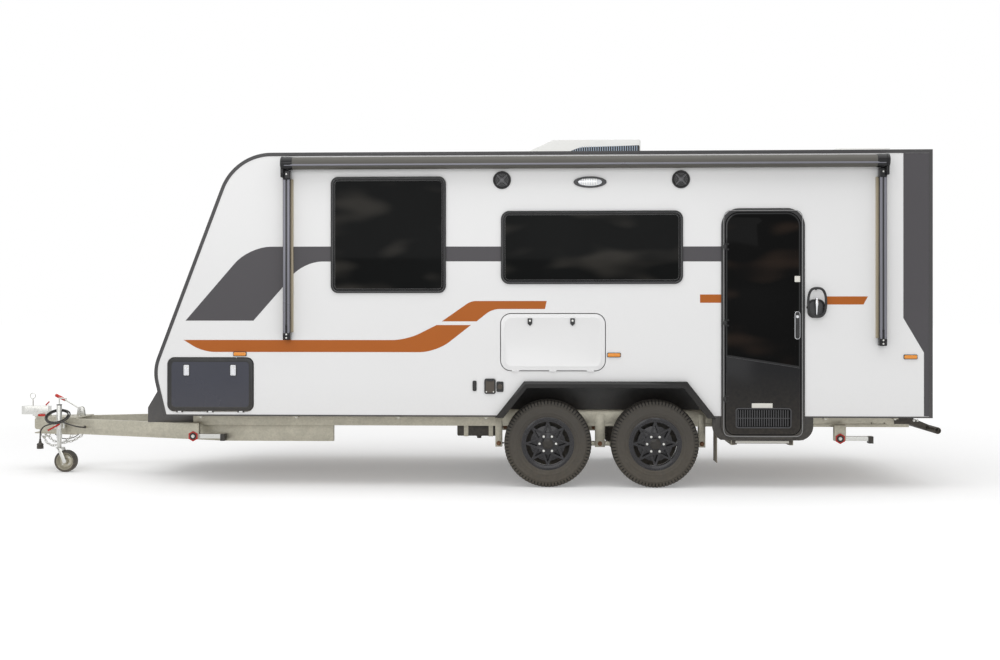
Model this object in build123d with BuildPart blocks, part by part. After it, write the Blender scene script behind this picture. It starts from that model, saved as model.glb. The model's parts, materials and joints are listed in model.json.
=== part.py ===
from build123d import *

import os
from itertools import pairwise
from math import atan2, cos, degrees, hypot, radians, sin, tan

# A tandem-axle travel caravan, standing on its four tyres and its jockey wheel. Millimetres.
# +X points to the rear and +Z is up, and the entry door is on the left side, towards -Y.
# The origin is on the ground, on the centreline, halfway along the whole caravan.

os.makedirs("parts", exist_ok=True)

# Clearances
FIT = 0.3               # gap at curved, sliding and pinned seats
SWING_GAP = 7           # gap round a door or lid
CLEAR = 5               # least gap between moving pieces elsewhere
OVERCUT = 1             # how far a cut runs past the face that it opens

# Wheels
AXLE_MID_X = 1312       # halfway between the two axles
AXLE_SPACING = 910
TYRE_R = 372.5
TYRE_W = 235
TYRE_INSET = 15         # tyre's outer face, in from the side wall's outer face
TREAD_W = 186
SHOULDER_W = 216
SHOULDER_DROP = 20      # shoulder's radius under the tread's
CROWN_DROP = 4          # tread edge's radius under the crown's
BELLY_R = 292           # radius at which the sidewall is widest
BEAD_R = 212
BEAD_W = 190
RIM_WALL = 7
RIM_LIP = 8
RIM_LIP_R = 228
FACE_R = 186            # inner edge of the rim's face ring
SPOKE_COUNT = 8         # V-shaped pairs
SPOKE_W = 17
SPOKE_T = 24
SPOKE_FRONT = 90        # spokes' front face, outwards from the tyre's middle
PAD_R = 92
PAD_T = 34
CAP_R = 44
CAP_T = 20
STUD_COUNT = 6
STUD_CIRCLE_R = 69.85
STUD_R = 11
STUD_T = 13
DRUM_R = 150
DRUM_W = 70
STUB_R = 22
STUB_L = 55

# Axles and springs
AXLE_BEAM = 50
BACKPLATE_T = 6
SPRING_W = 45
LEAF_T = 8
LEAF_COUNT = 4
LEAF_STEP = 75          # how much shorter each leaf is at either end
EYE_R = 18
PIN_R = 8
HANGER_REACH = 430      # axle to outer spring pin
ROCKER_REACH = 82       # rocker pivot to spring pin
ROCKER_W = 44
ROCKER_YOKE = 48        # yoke's start, from the pivot
ROCKER_SLOT = 62        # slot's start, from the pivot
ROCKER_CHEEK = 6
HANGER_T = 8
HANGER_FOOT_Z = 313
HANGER_LAP_Z = 600      # top of the outer hanger plates on the rails

# Body shell
BODY_W = 2360
SKIRT_Z = 605
ROOF_Z = 2850
FOOT_X = -2436          # front wall at the skirt
KNUCKLE_X = -2530       # foremost corner of the front wall, before rounding
KNUCKLE_Z = 993
KNUCKLE_R = 370
BROW_X = -1823          # corner of front wall and roof, before rounding
BROW_R = 465
REAR_X = 4072
WALL_T = 32
PANEL_T = 36            # front wall, roof and rear wall
FLOOR_T = 40
FLOOR_RISE = 40         # floor's underside, above the skirt

# Chassis
RAIL_W = 50
RAIL_H = 150
RAIL_TO_TYRE = 105      # rail's outer face to tyre's inner face
RAIL_FRONT_X = -2280
RAIL_REAR_X = 3979
RAIL_HOLE_X = 3714
RAIL_HOLE_Z = 530
RAIL_HOLE_R = 7
RAIL_HOLE_SPACING = 110
CROSS_H = 100
CROSS_W = 50
CROSS_XS = (-2255, -1300, -350, 100, 384, 1312, 2124, 3100, 3954)
OUTRIGGER_W = 40
OUTRIGGER_H = 55
OUTRIGGER_XS = (-2130, -1300, -420, 330, 3200, 3780)
BEAM_W = 50
BEAM_H = 140
BEAM_REAR_X = -1031
BEAM_BEND_X = -2000     # where the drawbar beams turn inwards
BEAM_FRONT_X = -3960
BEAM_FRONT_Y = 62
PLATE_T = 10

# Wheel arches: corners from the point midway between the axles
ARCH_FRONT = -902
ARCH_REAR = 958
ARCH_TOP_FRONT = -656
ARCH_TOP_REAR = 715
ARCH_FOOT_Z = 597
ARCH_TOP_Z = 906
FLARE_PROUD = 48
FLARE_W = 56
FLARE_LAP = 20          # flare's overlap on the wall
LINER_T = 6
LINER_DEPTH = 300

# Windows: side, centre x, centre z, width, height, corner radius
WINDOWS = [
    ("left", -499, 2148, 984, 990, 62),
    ("left", 1228, 2038, 1536, 620, 70),
    ("right", -499, 2148, 984, 990, 62),
    ("right", 1000, 2038, 1080, 560, 70),
    ("right", 3330, 2180, 560, 430, 70),
]
FRAME_W = 30
FRAME_LAP = 14          # frame's overlap on the wall
FRAME_PROUD = 16
PANE_T = 6

# Entry door
DOOR_X = 2664.5
DOOR_W = 697
DOOR_FOOT_Z = 425
DOOR_HEAD_Z = 2364
DOOR_HEAD_R = 150
DOOR_FOOT_R = 112
DOOR_BAR = 30
DOOR_LAP = 12
DOOR_PROUD = 12
DOOR_T = 34
DOOR_HINGE_ZS = (760, 1400, 2040)
WELL_BOTTOM_Z = 411
WELL_LIP = 72
WELL_CORNER_R = 120
WELL_DEPTH = 338
WELL_T = 12

# Lids hinged at their lower edge: name, side, centre x, centre z, width, height, corner radius
LIDS = [
    ("boot_lid_left", "left", -2029, 872, 735, 452, 55),
    ("boot_lid_right", "right", -2029, 872, 735, 452, 55),
    ("picnic_table", "left", 900, 1236, 880, 478, 85),
]
LID_T = 26
LID_PROUD = 10

# Hinges
KNUCKLE_BARREL_R = 6
HINGE_PIN_R = 3
HINGE_L = 60
TAB_T = 6
HINGE_GAP = 1           # knuckle's clearance beside what it turns past
LID_HINGE_SINK = 3      # lid hinge's axis, in from the lid's outer face
LID_HINGE_SPREAD = 0.36     # outer hinges from the lid's middle, as a share of its width

# Step under the door
STEP_W = 460
STEP_DEPTH = 270
STEP_T = 26
RUNNER_W = 30
RUNNER_H = 44
RUNNER_WALL = 4
STEP_RAIL_W = 18

# Corner steadies: name, side, x of the pivot
STEADIES = [
    ("steady_front_left", "left", -2262),
    ("steady_front_right", "right", -2262),
    ("steady_rear_left", "left", 3375),
    ("steady_rear_right", "right", 3375),
]
STEADY_Z = 400
STEADY_L = 262          # pivot to the foot's middle
STEADY_W = 36
STEADY_H = 40
STEADY_WALL = 6
STEADY_PIN_R = 8
STEADY_FOOT_W = 70
STEADY_GAP = 6          # foot's gap beside the rail
STEADY_SIDE_GAP = 1     # leg's gap beside its bracket's plates
STEADY_BRACKET_L = 100
STEADY_SEAT_Z = 510     # underside of the bracket's bridge

# Jockey wheel
JOCKEY_X = -3718
JOCKEY_STANDOFF = 60    # post's axis, out from the drawbar beam's outer face
POST_R = 24.5
LEG_R = 20
POST_FOOT_Z = 310
POST_HEAD_Z = 626
POST_CAP_T = 8
LEG_HEAD_Z = 535
FORK_CROWN_Z = 228
CROWN_T = 10
CROWN_R = 32
SWIVEL_PIN_R = 10
SWIVEL_HEAD_R = 16
SWIVEL_HEAD_T = 10
JOCKEY_TRAIL = 66
JOCKEY_WHEEL_R = 102.5
JOCKEY_WHEEL_W = 84
JOCKEY_RIM_R = 78
JOCKEY_PIN_R = 8
FORK_T = 5
CLAMP_L = 96
CLAMP_H = 70
CLAMP_Z = 440           # middle of the clamp
CLAMP_R = 36
CRANK_R = 7
CRANK_L = 70
CRANK_H = 62
FORK_FOOT_R = 18
JOCKEY_TREAD_W = 60
JOCKEY_DISH_W = 40
JOCKEY_HUB_R = 26

# Trailer lead, its loops round the jockey post, and its plug
LEAD_D = 13
BEND_SHARE = 0.45       # share of a straight run that a bend may take at either end
COIL_R = 105
COIL_BUNDLE_R = 22
COIL_TILT = 32
COIL_Z = 520
PLUG_R = 30
PLUG_H = 56
PLUG_NECK_R = 13
PLUG_NECK_H = 34
GLAND_X = -3450
GLAND_Z = 425
GLAND_R = 13
GLAND_L = 20

# Roof
HATCH_X = 3729
HATCH_SIZE = 512
HATCH_OPENING = 400
HATCH_FRAME_H = 34
HATCH_LID_H = 100
HATCH_WALL = 6
HATCH_TAPER = 8         # lean of the lid's sides, in degrees
HATCH_HINGE_YS = (-150, 150)
COOLER_FRONT_X = 575
COOLER_REAR_X = 1700
COOLER_HALF_W = 390
COOLER_TOP_Z = 3061
COOLER_NOSE_H = 60
COOLER_SLOPE = 330
COOLER_R = 40

# Awning
ROLLER_R = 54
ROLLER_Z = 2751
ROLLER_STANDOFF = 70    # roller's axis, out from the wall
ROLLER_FRONT_X = -1405
ROLLER_REAR_X = 3694
END_CAP_T = 26
ARM_W = 63
ARM_T = 38
ARM_STANDOFF = 32
CHANNEL_W = 44
CHANNEL_T = 24
ARM_FOOTS = (1254, 1208)    # lower ends of the front and the rear arm

# Bumper and lamps
BUMPER_R = 28.5
BUMPER_X = 4147
BUMPER_Z = 489
BUMPER_HALF_L = 1080
BUMPER_ARM_Z = 555
BUMPER_ARM_H = 64
BUMPER_ARM_T = 10

# Edge trims
TRIM_T = 3
TRIM_FACE_W = 27
TRIM_FOOT_W = 10
TRIM_RETURN = 30

# Drawbar's head, with its cheeks
HEAD_BACK = 400
HEAD_LAP = 12
CHEEK_H = 112
CHEEK_L = 110
CHEEK_R = 24

# Coupling: its socket for the tow ball, its housing, and the stalk with a ring
SOCKET_X = -4128
SOCKET_R = 25.5
SOCKET_DEPTH = 46
COUPLING_BACK_X = -3905
COUPLING_HALF_W = 42
COUPLING_NOSE_R = 48
COUPLING_Z = 521        # underside of the socket's housing
COUPLING_H = 78
COUPLING_FOOT_L = 150
STALK_X = -4070
STALK_R = 9
STALK_H = 70
RING_R = 26

# Handbrake lever
BRAKE_PIVOT_X = -3600
BRAKE_PIVOT_Z = 566
BRAKE_KNEE_X = -3750
BRAKE_KNEE_Z = 655
BRAKE_TIP_X = -3846
BRAKE_TIP_Z = 702
BRAKE_POST_W = 44
LEVER_R = 8
GRIP_R = 15

# Locker at the front
LOCKER_HALF_W = 560
LOCKER_FRONT_X = -2773
LOCKER_BREAK_Z = 628
LOCKER_TOP_Z = 1120
LOCKER_REAR_X = -2310

# Water tank and mud flaps
TANK_X = (52, 432)
TANK_SIDE_GAP = 75      # tank's distance inside the rails
TANK_BOTTOM_Z = 394
FLAP_GAP = 12           # flap's distance behind the flare's foot
FLAP_T = 6
FLAP_FOOT_Z = 216

# Lamps, with the x and z of each side marker
MARKERS = [(-1774, 1133), (1416, 1128), (3891, 1115)]
MARKER_W = 116
MARKER_H = 40
MARKER_T = 16
TAIL_Y = 880
TAIL_Z = 980
TAIL_W = 330
TAIL_H = 105
TAIL_T = 34

# Fittings on the side walls: name, side, corner radius, thickness, then x, z, width, height of each
FITTINGS = {
    "wall_speakers": ("left", 72, 14, [(469, 2610, 145, 145), (1979, 2610, 145, 145)]),
    "awning_lamp": ("left", 48, 26, [(1214, 2590, 280, 98)]),
    "service_inlets": ("left", 8, 14, [(236, 865, 34, 88), (367, 862, 96, 130), (452, 858, 60, 88)]),
    "side_vents": ("right", 24, 12, [(2300, 1240, 460, 300), (2300, 1900, 460, 300)]),
}

# Grab handle beside the door
GRAB_X = 3107
GRAB_Z = 1571
GRAB_W = 166
GRAB_H = 260
GRAB_R = 80
GRAB_BAR = 17
GRAB_OUT = 62
GRAB_BASE_T = 14


def half(size):
    return size / 2


HALF_W = half(BODY_W)
INNER_Y = HALF_W - WALL_T
RAIL_TOP = SKIRT_Z + FLOOR_RISE
RAIL_BOTTOM = RAIL_TOP - RAIL_H
BEAM_BOTTOM = RAIL_BOTTOM - BEAM_H
FLOOR_TOP = RAIL_TOP + FLOOR_T
TYRE_Y = HALF_W - TYRE_INSET - half(TYRE_W)
RAIL_Y = TYRE_Y - half(TYRE_W) - RAIL_TO_TYRE - half(RAIL_W)
SIDES = {"left": -1, "right": 1}
AXLES = {"front": AXLE_MID_X - half(AXLE_SPACING), "rear": AXLE_MID_X + half(AXLE_SPACING)}


def across(y):
    """The sketch plane of a side view at that y. What it extrudes runs towards -Y."""
    return Plane.XZ.offset(-y)


def span(middle, width):
    """The low and high end of a width about its middle."""
    return middle - half(width), middle + half(width)


def outward(sign, first, second):
    """The low and high y of a slab from first to second, measured out from the centreline."""
    return tuple(sorted((sign * first, sign * second)))


def block(x, y, z, mode=Mode.ADD):
    """A box from its three low and high ends."""
    with Locations((half(x[0] + x[1]), half(y[0] + y[1]), half(z[0] + z[1]))):
        Box(x[1] - x[0], y[1] - y[0], z[1] - z[0], mode=mode)


def rod(start, direction, radius, length, mode=Mode.ADD):
    """A round bar from its start, along a direction."""
    with Locations(Plane(origin=start, z_dir=direction)):
        Cylinder(radius, length, align=(Align.CENTER, Align.CENTER, Align.MIN), mode=mode)


def crossing(first, second):
    """Where two lines meet, each given as x1, y1, x2, y2."""
    ax, ay, bx, by = first
    cx, cy, dx, dy = second
    turn = (bx - ax) * (dy - cy) - (by - ay) * (dx - cx)
    along = ((cx - ax) * (dy - cy) - (cy - ay) * (dx - cx)) / turn
    return ax + along * (bx - ax), ay + along * (by - ay)


def shifted_lines(corners, inset):
    """The lines of an open outline, moved to the right of its direction by inset."""
    lines = []
    for (ax, ay), (bx, by) in pairwise(corners):
        share = inset / hypot(bx - ax, by - ay)
        move_x, move_y = (by - ay) * share, (ax - bx) * share
        lines.append((ax + move_x, ay + move_y, bx + move_x, by + move_y))
    return lines


def moved_in(corners, inset, foot_z=None):
    """An open outline moved in by inset, with its two ends at foot_z where that is given."""
    lines = shifted_lines(corners, inset)
    middle = [crossing(first, second) for first, second in pairwise(lines)]
    if foot_z is None:
        return [lines[0][:2]] + middle + [lines[-1][2:]]
    ground = (0, foot_z, 1, foot_z)
    return [crossing(lines[0], ground)] + middle + [crossing(lines[-1], ground)]


def keep(piece, name):
    """Labels a finished piece and writes it to its own file."""
    piece.part.label = name
    export_step(piece.part, f"parts/{name}.step")


BODY_CORNERS = [
    (FOOT_X, SKIRT_Z),
    (KNUCKLE_X, KNUCKLE_Z),
    (BROW_X, ROOF_Z),
    (REAR_X, ROOF_Z),
    (REAR_X, SKIRT_Z),
]
BROW_REACH = BROW_R * tan(half(atan2(ROOF_Z - KNUCKLE_Z, BROW_X - KNUCKLE_X)))
ROOF_FRONT_X = BROW_X + BROW_REACH
ARCH_CORNERS = [
    (AXLE_MID_X + ARCH_FRONT, ARCH_FOOT_Z),
    (AXLE_MID_X + ARCH_TOP_FRONT, ARCH_TOP_Z),
    (AXLE_MID_X + ARCH_TOP_REAR, ARCH_TOP_Z),
    (AXLE_MID_X + ARCH_REAR, ARCH_FOOT_Z),
]


def body_face(inset=0, foot_z=SKIRT_Z):
    """The side face of the body, moved in by inset, with its rounded knuckle and brow."""
    with BuildSketch() as face:
        with BuildLine():
            corners = moved_in(BODY_CORNERS, inset, foot_z)
            line = FilletPolyline(*corners, radius=[KNUCKLE_R - inset, BROW_R - inset, 0])
            Line(line @ 1, line @ 0)
        make_face()
    return face.sketch


def arch_face(inset, foot_z):
    """The wheel arch's face, moved in by inset."""
    with BuildSketch() as face:
        with BuildLine():
            Polyline(*moved_in(ARCH_CORNERS, inset, foot_z), close=True)
        make_face()
    return face.sketch


def door_face(inset):
    """The door frame's face, moved in by inset, with its large round corners."""
    right = DOOR_X + half(DOOR_W) - inset
    left = DOOR_X - half(DOOR_W) + inset
    with BuildSketch() as face:
        with BuildLine():
            FilletPolyline(
                (left, DOOR_FOOT_Z + inset),
                (right, DOOR_FOOT_Z + inset),
                (right, DOOR_HEAD_Z - inset),
                (left, DOOR_HEAD_Z - inset),
                radius=[size - inset for size in (DOOR_FOOT_R, DOOR_FOOT_R, DOOR_HEAD_R, DOOR_HEAD_R)],
                close=True,
            )
        make_face()
    return face.sketch


def rounded(x, z, width, height, radius, mode=Mode.ADD):
    """A rounded rectangle in a side view."""
    with Locations((x, z)):
        RectangleRounded(width, height, radius, mode=mode)


# Hinges
HINGE_OUT = LID_PROUD - LID_HINGE_SINK      # lid hinge axis, out from the wall
DOOR_HINGE_OUT = DOOR_PROUD + KNUCKLE_BARREL_R + HINGE_GAP
DOOR_LEAF_INSET = DOOR_BAR + SWING_GAP
DOOR_HINGE_X = DOOR_X - half(DOOR_W) + DOOR_BAR + half(SWING_GAP)


def barrel(centre, axis, start, end, bored):
    """A hinge knuckle about an axis through centre, from start to end along that axis."""
    along = Vector(*axis)
    rod(Vector(*centre) + along * start, axis, KNUCKLE_BARREL_R, end - start)
    if bored:
        hole_r = HINGE_PIN_R + FIT
        rod(Vector(*centre) + along * start, axis, hole_r, end - start, mode=Mode.SUBTRACT)


def lid_axis(z, height):
    """The height of a lid's hinge axis, under its lower edge."""
    return z - half(height) - KNUCKLE_BARREL_R - half(HINGE_GAP)


def lid_hinge_xs(x, width):
    """Where a lid's three hinges are."""
    return [x - LID_HINGE_SPREAD * width, x, x + LID_HINGE_SPREAD * width]


# Side walls, with the fixed knuckles of their lids
for side, sign in SIDES.items():
    with BuildPart() as wall:
        low, high = outward(sign, INNER_Y, HALF_W)
        with BuildSketch(across(high)):
            add(body_face())
        extrude(amount=WALL_T)
        with BuildSketch(across(high + OVERCUT)):
            for at, x, z, width, height, radius in WINDOWS:
                if at == side:
                    rounded(x, z, width - 2 * FRAME_LAP, height - 2 * FRAME_LAP, radius - FRAME_LAP)
            for name, at, x, z, width, height, radius in LIDS:
                if at == side:
                    rounded(x, z, width + 2 * SWING_GAP, height + 2 * SWING_GAP, radius + SWING_GAP)
            add(arch_face(FLARE_LAP, SKIRT_Z - FLOOR_RISE))
            if side == "left":
                add(door_face(DOOR_LAP))
        extrude(amount=WALL_T + 2 * OVERCUT, mode=Mode.SUBTRACT)
        for name, at, x, z, width, height, radius in LIDS:
            if at == side:
                axis_z = lid_axis(z, height)
                for hinge_x in lid_hinge_xs(x, width):
                    middle = half(half(HINGE_L)) - FIT
                    centre = (hinge_x, sign * (HALF_W + HINGE_OUT), axis_z)
                    block(
                        span(hinge_x, 2 * middle),
                        outward(sign, HALF_W, HALF_W + HINGE_OUT),
                        (axis_z - TAB_T, axis_z),
                    )
                    barrel(centre, (1, 0, 0), -middle, middle, False)
                    rod(Vector(*centre) - Vector(half(HINGE_L), 0, 0), (1, 0, 0), HINGE_PIN_R, HINGE_L)
    keep(wall, f"{side}_wall")

# The hatch's frame stands on the roof, round the opening
HATCH_FRAME_TOP = ROOF_Z + HATCH_FRAME_H
HATCH_HINGE_X = HATCH_X - half(HATCH_SIZE) - KNUCKLE_BARREL_R - HINGE_GAP
HATCH_HINGE_Z = HATCH_FRAME_TOP + SWING_GAP


def hatch_frame():
    """Adds the hatch's frame, with its fixed hinge halves, and cuts the opening."""
    hatch_x = span(HATCH_X, HATCH_SIZE)
    opening_x = span(HATCH_X, HATCH_OPENING)
    block(hatch_x, span(0, HATCH_SIZE), (ROOF_Z, HATCH_FRAME_TOP))
    for y in HATCH_HINGE_YS:
        reach = half(half(HINGE_L)) - FIT
        width = span(y, 2 * reach)
        block((HATCH_HINGE_X - half(TAB_T), hatch_x[0]), width, (ROOF_Z, HATCH_FRAME_TOP))
        block(span(HATCH_HINGE_X, TAB_T), width, (HATCH_FRAME_TOP, HATCH_HINGE_Z))
        rod((HATCH_HINGE_X, width[0], HATCH_HINGE_Z), (0, 1, 0), KNUCKLE_BARREL_R, 2 * reach)
        rod((HATCH_HINGE_X, y - half(HINGE_L), HATCH_HINGE_Z), (0, 1, 0), HINGE_PIN_R, HINGE_L)
    block(opening_x, span(0, HATCH_OPENING), (ROOF_Z - PANEL_T, HATCH_FRAME_TOP), mode=Mode.SUBTRACT)


# Front wall, roof and rear wall, between the side walls
SHELL_PANELS = {
    "front_wall": ((KNUCKLE_X, ROOF_FRONT_X), (SKIRT_Z, ROOF_Z)),
    "roof": ((ROOF_FRONT_X, REAR_X), (ROOF_Z - PANEL_T, ROOF_Z)),
    "rear_wall": ((REAR_X - PANEL_T, REAR_X), (SKIRT_Z, ROOF_Z - PANEL_T)),
}
for name, (x_span, z_span) in SHELL_PANELS.items():
    with BuildPart() as panel:
        with BuildSketch(across(INNER_Y)):
            add(body_face())
            add(body_face(PANEL_T, SKIRT_Z - FLOOR_RISE), mode=Mode.SUBTRACT)
            with Locations((half(sum(x_span)), half(sum(z_span)))):
                Rectangle(x_span[1] - x_span[0], z_span[1] - z_span[0], mode=Mode.INTERSECT)
        extrude(amount=2 * INNER_Y)
        if name == "roof":
            hatch_frame()
    keep(panel, name)

# Floor on the rails, open for the wheel arches and the step well
FLOOR_FRONT_X = moved_in(BODY_CORNERS, PANEL_T + FIT, RAIL_TOP)[0][0]
with BuildPart() as floor_panel:
    block((FLOOR_FRONT_X, REAR_X - PANEL_T), (-INNER_Y, INNER_Y), (RAIL_TOP, FLOOR_TOP))
    for sign in SIDES.values():
        low, high = outward(sign, HALF_W - LINER_DEPTH, HALF_W)
        with BuildSketch(across(high)):
            add(arch_face(FLARE_LAP, SKIRT_Z))
        extrude(amount=LINER_DEPTH, mode=Mode.SUBTRACT)
    with BuildSketch(across(-HALF_W + WELL_DEPTH - WELL_T)):
        add(door_face(DOOR_LAP))
    extrude(amount=WELL_DEPTH, mode=Mode.SUBTRACT)
keep(floor_panel, "floor")

# Edge trims: an angle section round the rim of each side wall
with BuildPart() as edge_trims:
    for sign in SIDES.values():
        for inset, foot, first, second in (
            (TRIM_FACE_W, TRIM_FOOT_W, HALF_W, HALF_W + TRIM_T),
            (0, 0, HALF_W - TRIM_RETURN, HALF_W),
        ):
            low, high = outward(sign, first, second)
            with BuildSketch(across(high)):
                add(body_face(-TRIM_T, SKIRT_Z - TRIM_T))
                add(body_face(inset, SKIRT_Z + foot), mode=Mode.SUBTRACT)
                add(arch_face(0, SKIRT_Z - FLOOR_RISE), mode=Mode.SUBTRACT)
                if sign < 0:
                    add(door_face(0), mode=Mode.SUBTRACT)
                    with Locations((DOOR_X, SKIRT_Z - half(FLOOR_RISE))):
                        Rectangle(DOOR_W + 2 * WELL_LIP, FLOOR_RISE, mode=Mode.SUBTRACT)
            extrude(amount=high - low)
keep(edge_trims, "edge_trims")

# Window frames and panes
with BuildPart() as window_frames:
    for side, x, z, width, height, radius in WINDOWS:
        sign = SIDES[side]
        for lap, first, second in (
            (0, HALF_W, HALF_W + FRAME_PROUD),
            (FRAME_LAP + FIT, INNER_Y, HALF_W),
        ):
            low, high = outward(sign, first, second)
            with BuildSketch(across(high)):
                rounded(x, z, width - 2 * lap, height - 2 * lap, radius - lap)
                inner = (width - 2 * FRAME_W, height - 2 * FRAME_W, radius - FRAME_W)
                rounded(x, z, *inner, mode=Mode.SUBTRACT)
            extrude(amount=high - low)
keep(window_frames, "window_frames")

with BuildPart() as window_panes:
    for side, x, z, width, height, radius in WINDOWS:
        low, high = outward(SIDES[side], HALF_W, HALF_W + PANE_T)
        with BuildSketch(across(high)):
            seat = FRAME_W + FIT
            rounded(x, z, width - 2 * seat, height - 2 * seat, radius - seat)
        extrude(amount=high - low)
keep(window_panes, "window_panes")

# Door frame, and its fixed hinge halves
with BuildPart() as door_frame:
    for lap, first, second in ((0, HALF_W, HALF_W + DOOR_PROUD), (DOOR_LAP + FIT, INNER_Y, HALF_W)):
        with BuildSketch(across(-first)):
            add(door_face(lap))
            add(door_face(DOOR_BAR), mode=Mode.SUBTRACT)
        extrude(amount=second - first)
    for z in DOOR_HINGE_ZS:
        reach = half(half(HINGE_L)) - FIT
        centre = Vector(DOOR_HINGE_X, -HALF_W - DOOR_HINGE_OUT, z)
        block(
            (DOOR_HINGE_X - DOOR_BAR, DOOR_HINGE_X),
            outward(-1, HALF_W + DOOR_PROUD, HALF_W + DOOR_HINGE_OUT),
            span(z, 2 * reach),
        )
        rod(centre - Vector(0, 0, reach), (0, 0, 1), KNUCKLE_BARREL_R, 2 * reach)
        rod(centre - Vector(0, 0, half(HINGE_L)), (0, 0, 1), HINGE_PIN_R, HINGE_L)
keep(door_frame, "door_frame")

# Step well: the moulded tray under the door, and its apron below the skirt
WELL_INNER_Y = HALF_W - WELL_DEPTH
with BuildPart() as step_well:
    with BuildSketch(across(-INNER_Y)):
        width = DOOR_W + 2 * WELL_LIP
        with Locations((DOOR_X, WELL_BOTTOM_Z + half(DOOR_HEAD_Z))):
            RectangleRounded(width, DOOR_HEAD_Z, WELL_CORNER_R)
        with Locations((DOOR_X, half(WELL_BOTTOM_Z + SKIRT_Z))):
            Rectangle(width, SKIRT_Z - WELL_BOTTOM_Z, mode=Mode.INTERSECT)
    extrude(amount=WALL_T)
    block(span(DOOR_X, DOOR_W), (-INNER_Y, -WELL_INNER_Y), (WELL_BOTTOM_Z, RAIL_TOP))
    with BuildSketch(across(-WELL_INNER_Y - WELL_T)):
        add(door_face(DOOR_LAP))
    extrude(amount=WELL_DEPTH, mode=Mode.SUBTRACT)
keep(step_well, "step_well")

# Wheel arches: the flare on the wall and the liner over the wheels
with BuildPart() as wheel_arches:
    for sign in SIDES.values():
        for outer, inner, foot, first, second in (
            (0, FLARE_W, ARCH_FOOT_Z, HALF_W, HALF_W + FLARE_PROUD),
            (FLARE_LAP, FLARE_LAP + LINER_T, RAIL_TOP, HALF_W - LINER_DEPTH, HALF_W),
            (FLARE_LAP, None, RAIL_TOP, HALF_W - LINER_DEPTH, HALF_W - LINER_DEPTH + LINER_T),
        ):
            low, high = outward(sign, first, second)
            with BuildSketch(across(high)):
                add(arch_face(outer, foot))
                if inner:
                    add(arch_face(inner, foot - OVERCUT), mode=Mode.SUBTRACT)
            extrude(amount=high - low)
keep(wheel_arches, "wheel_arches")

# Chassis frame: rails and cross members
RAIL_OUT_Y = RAIL_Y + half(RAIL_W)
HANGERS = [
    (AXLE_MID_X, 85),
    (AXLES["front"] - HANGER_REACH, 60),
    (AXLES["rear"] + HANGER_REACH, 60),
]
SPRING_PIN_Z = TYRE_R - half(AXLE_BEAM) - half(LEAF_T)
RUNNER_XS = [DOOR_X - half(STEP_W) - half(RUNNER_W), DOOR_X + half(STEP_W) + half(RUNNER_W)]
RUNNER_TOP = WELL_BOTTOM_Z
RUNNER_BOTTOM = RUNNER_TOP - RUNNER_H
inner_y = RAIL_Y - half(RAIL_W)
with BuildPart() as chassis_frame:
    for sign in SIDES.values():
        rail = outward(sign, inner_y, RAIL_OUT_Y)
        block((RAIL_FRONT_X, RAIL_REAR_X), rail, (RAIL_BOTTOM, RAIL_TOP))
        for x in span(RAIL_HOLE_X, RAIL_HOLE_SPACING):
            rod((x, min(rail), RAIL_HOLE_Z), (0, 1, 0), RAIL_HOLE_R, RAIL_W, mode=Mode.SUBTRACT)
    for x in CROSS_XS:
        block(span(x, CROSS_W), (-inner_y, inner_y), (RAIL_TOP - CROSS_H, RAIL_TOP))
keep(chassis_frame, "chassis_frame")

# What the rails carry: outriggers, spring hangers with their pins, and the step's runners
with BuildPart() as chassis_outriggers:
    for sign in SIDES.values():
        for x in OUTRIGGER_XS:
            arm = outward(sign, RAIL_OUT_Y, INNER_Y)
            block(span(x, OUTRIGGER_W), arm, (RAIL_TOP - OUTRIGGER_H, RAIL_TOP))
        for x, width in HANGERS:
            for inner, lap_z in ((inner_y - HANGER_T, RAIL_TOP - CROSS_H), (RAIL_OUT_Y, HANGER_LAP_Z)):
                plate = outward(sign, inner, inner + HANGER_T)
                block(span(x, width), plate, (HANGER_FOOT_Z, lap_z))
            start = (x, sign * RAIL_Y - half(RAIL_W), SPRING_PIN_Z)
            rod(start, (0, 1, 0), PIN_R, RAIL_W)
    for x in RUNNER_XS:
        inward = 1 if x < DOOR_X else -1
        runner = span(x, RUNNER_W)
        block(runner, (-INNER_Y, -RAIL_Y), (RUNNER_BOTTOM, RUNNER_TOP))
        slot_x = sorted((x - inward * (half(RUNNER_W) - RUNNER_WALL), x + inward * RUNNER_W))
        slot_z = (RUNNER_BOTTOM + RUNNER_WALL, RUNNER_TOP - RUNNER_WALL)
        block(slot_x, (-INNER_Y - OVERCUT, -RAIL_OUT_Y), slot_z, mode=Mode.SUBTRACT)
        block(runner, (-RAIL_OUT_Y, half(RAIL_W) - RAIL_Y), (RUNNER_BOTTOM, RAIL_BOTTOM))
keep(chassis_outriggers, "chassis_outriggers")

# Drawbar: two beams under the rails that run in to the coupling
BEAM_LINE = [(BEAM_REAR_X, RAIL_Y), (BEAM_BEND_X, RAIL_Y), (BEAM_FRONT_X, BEAM_FRONT_Y)]
BEAM_SLOPE = (RAIL_Y - BEAM_FRONT_Y) / (BEAM_BEND_X - BEAM_FRONT_X)
BEAM_SIDE = half(BEAM_W) * hypot(1, BEAM_SLOPE)


def beam_y(x):
    """How far the drawbar beam's outer face is from the centreline at that x."""
    return BEAM_FRONT_Y + (x - BEAM_FRONT_X) * BEAM_SLOPE + BEAM_SIDE


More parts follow.
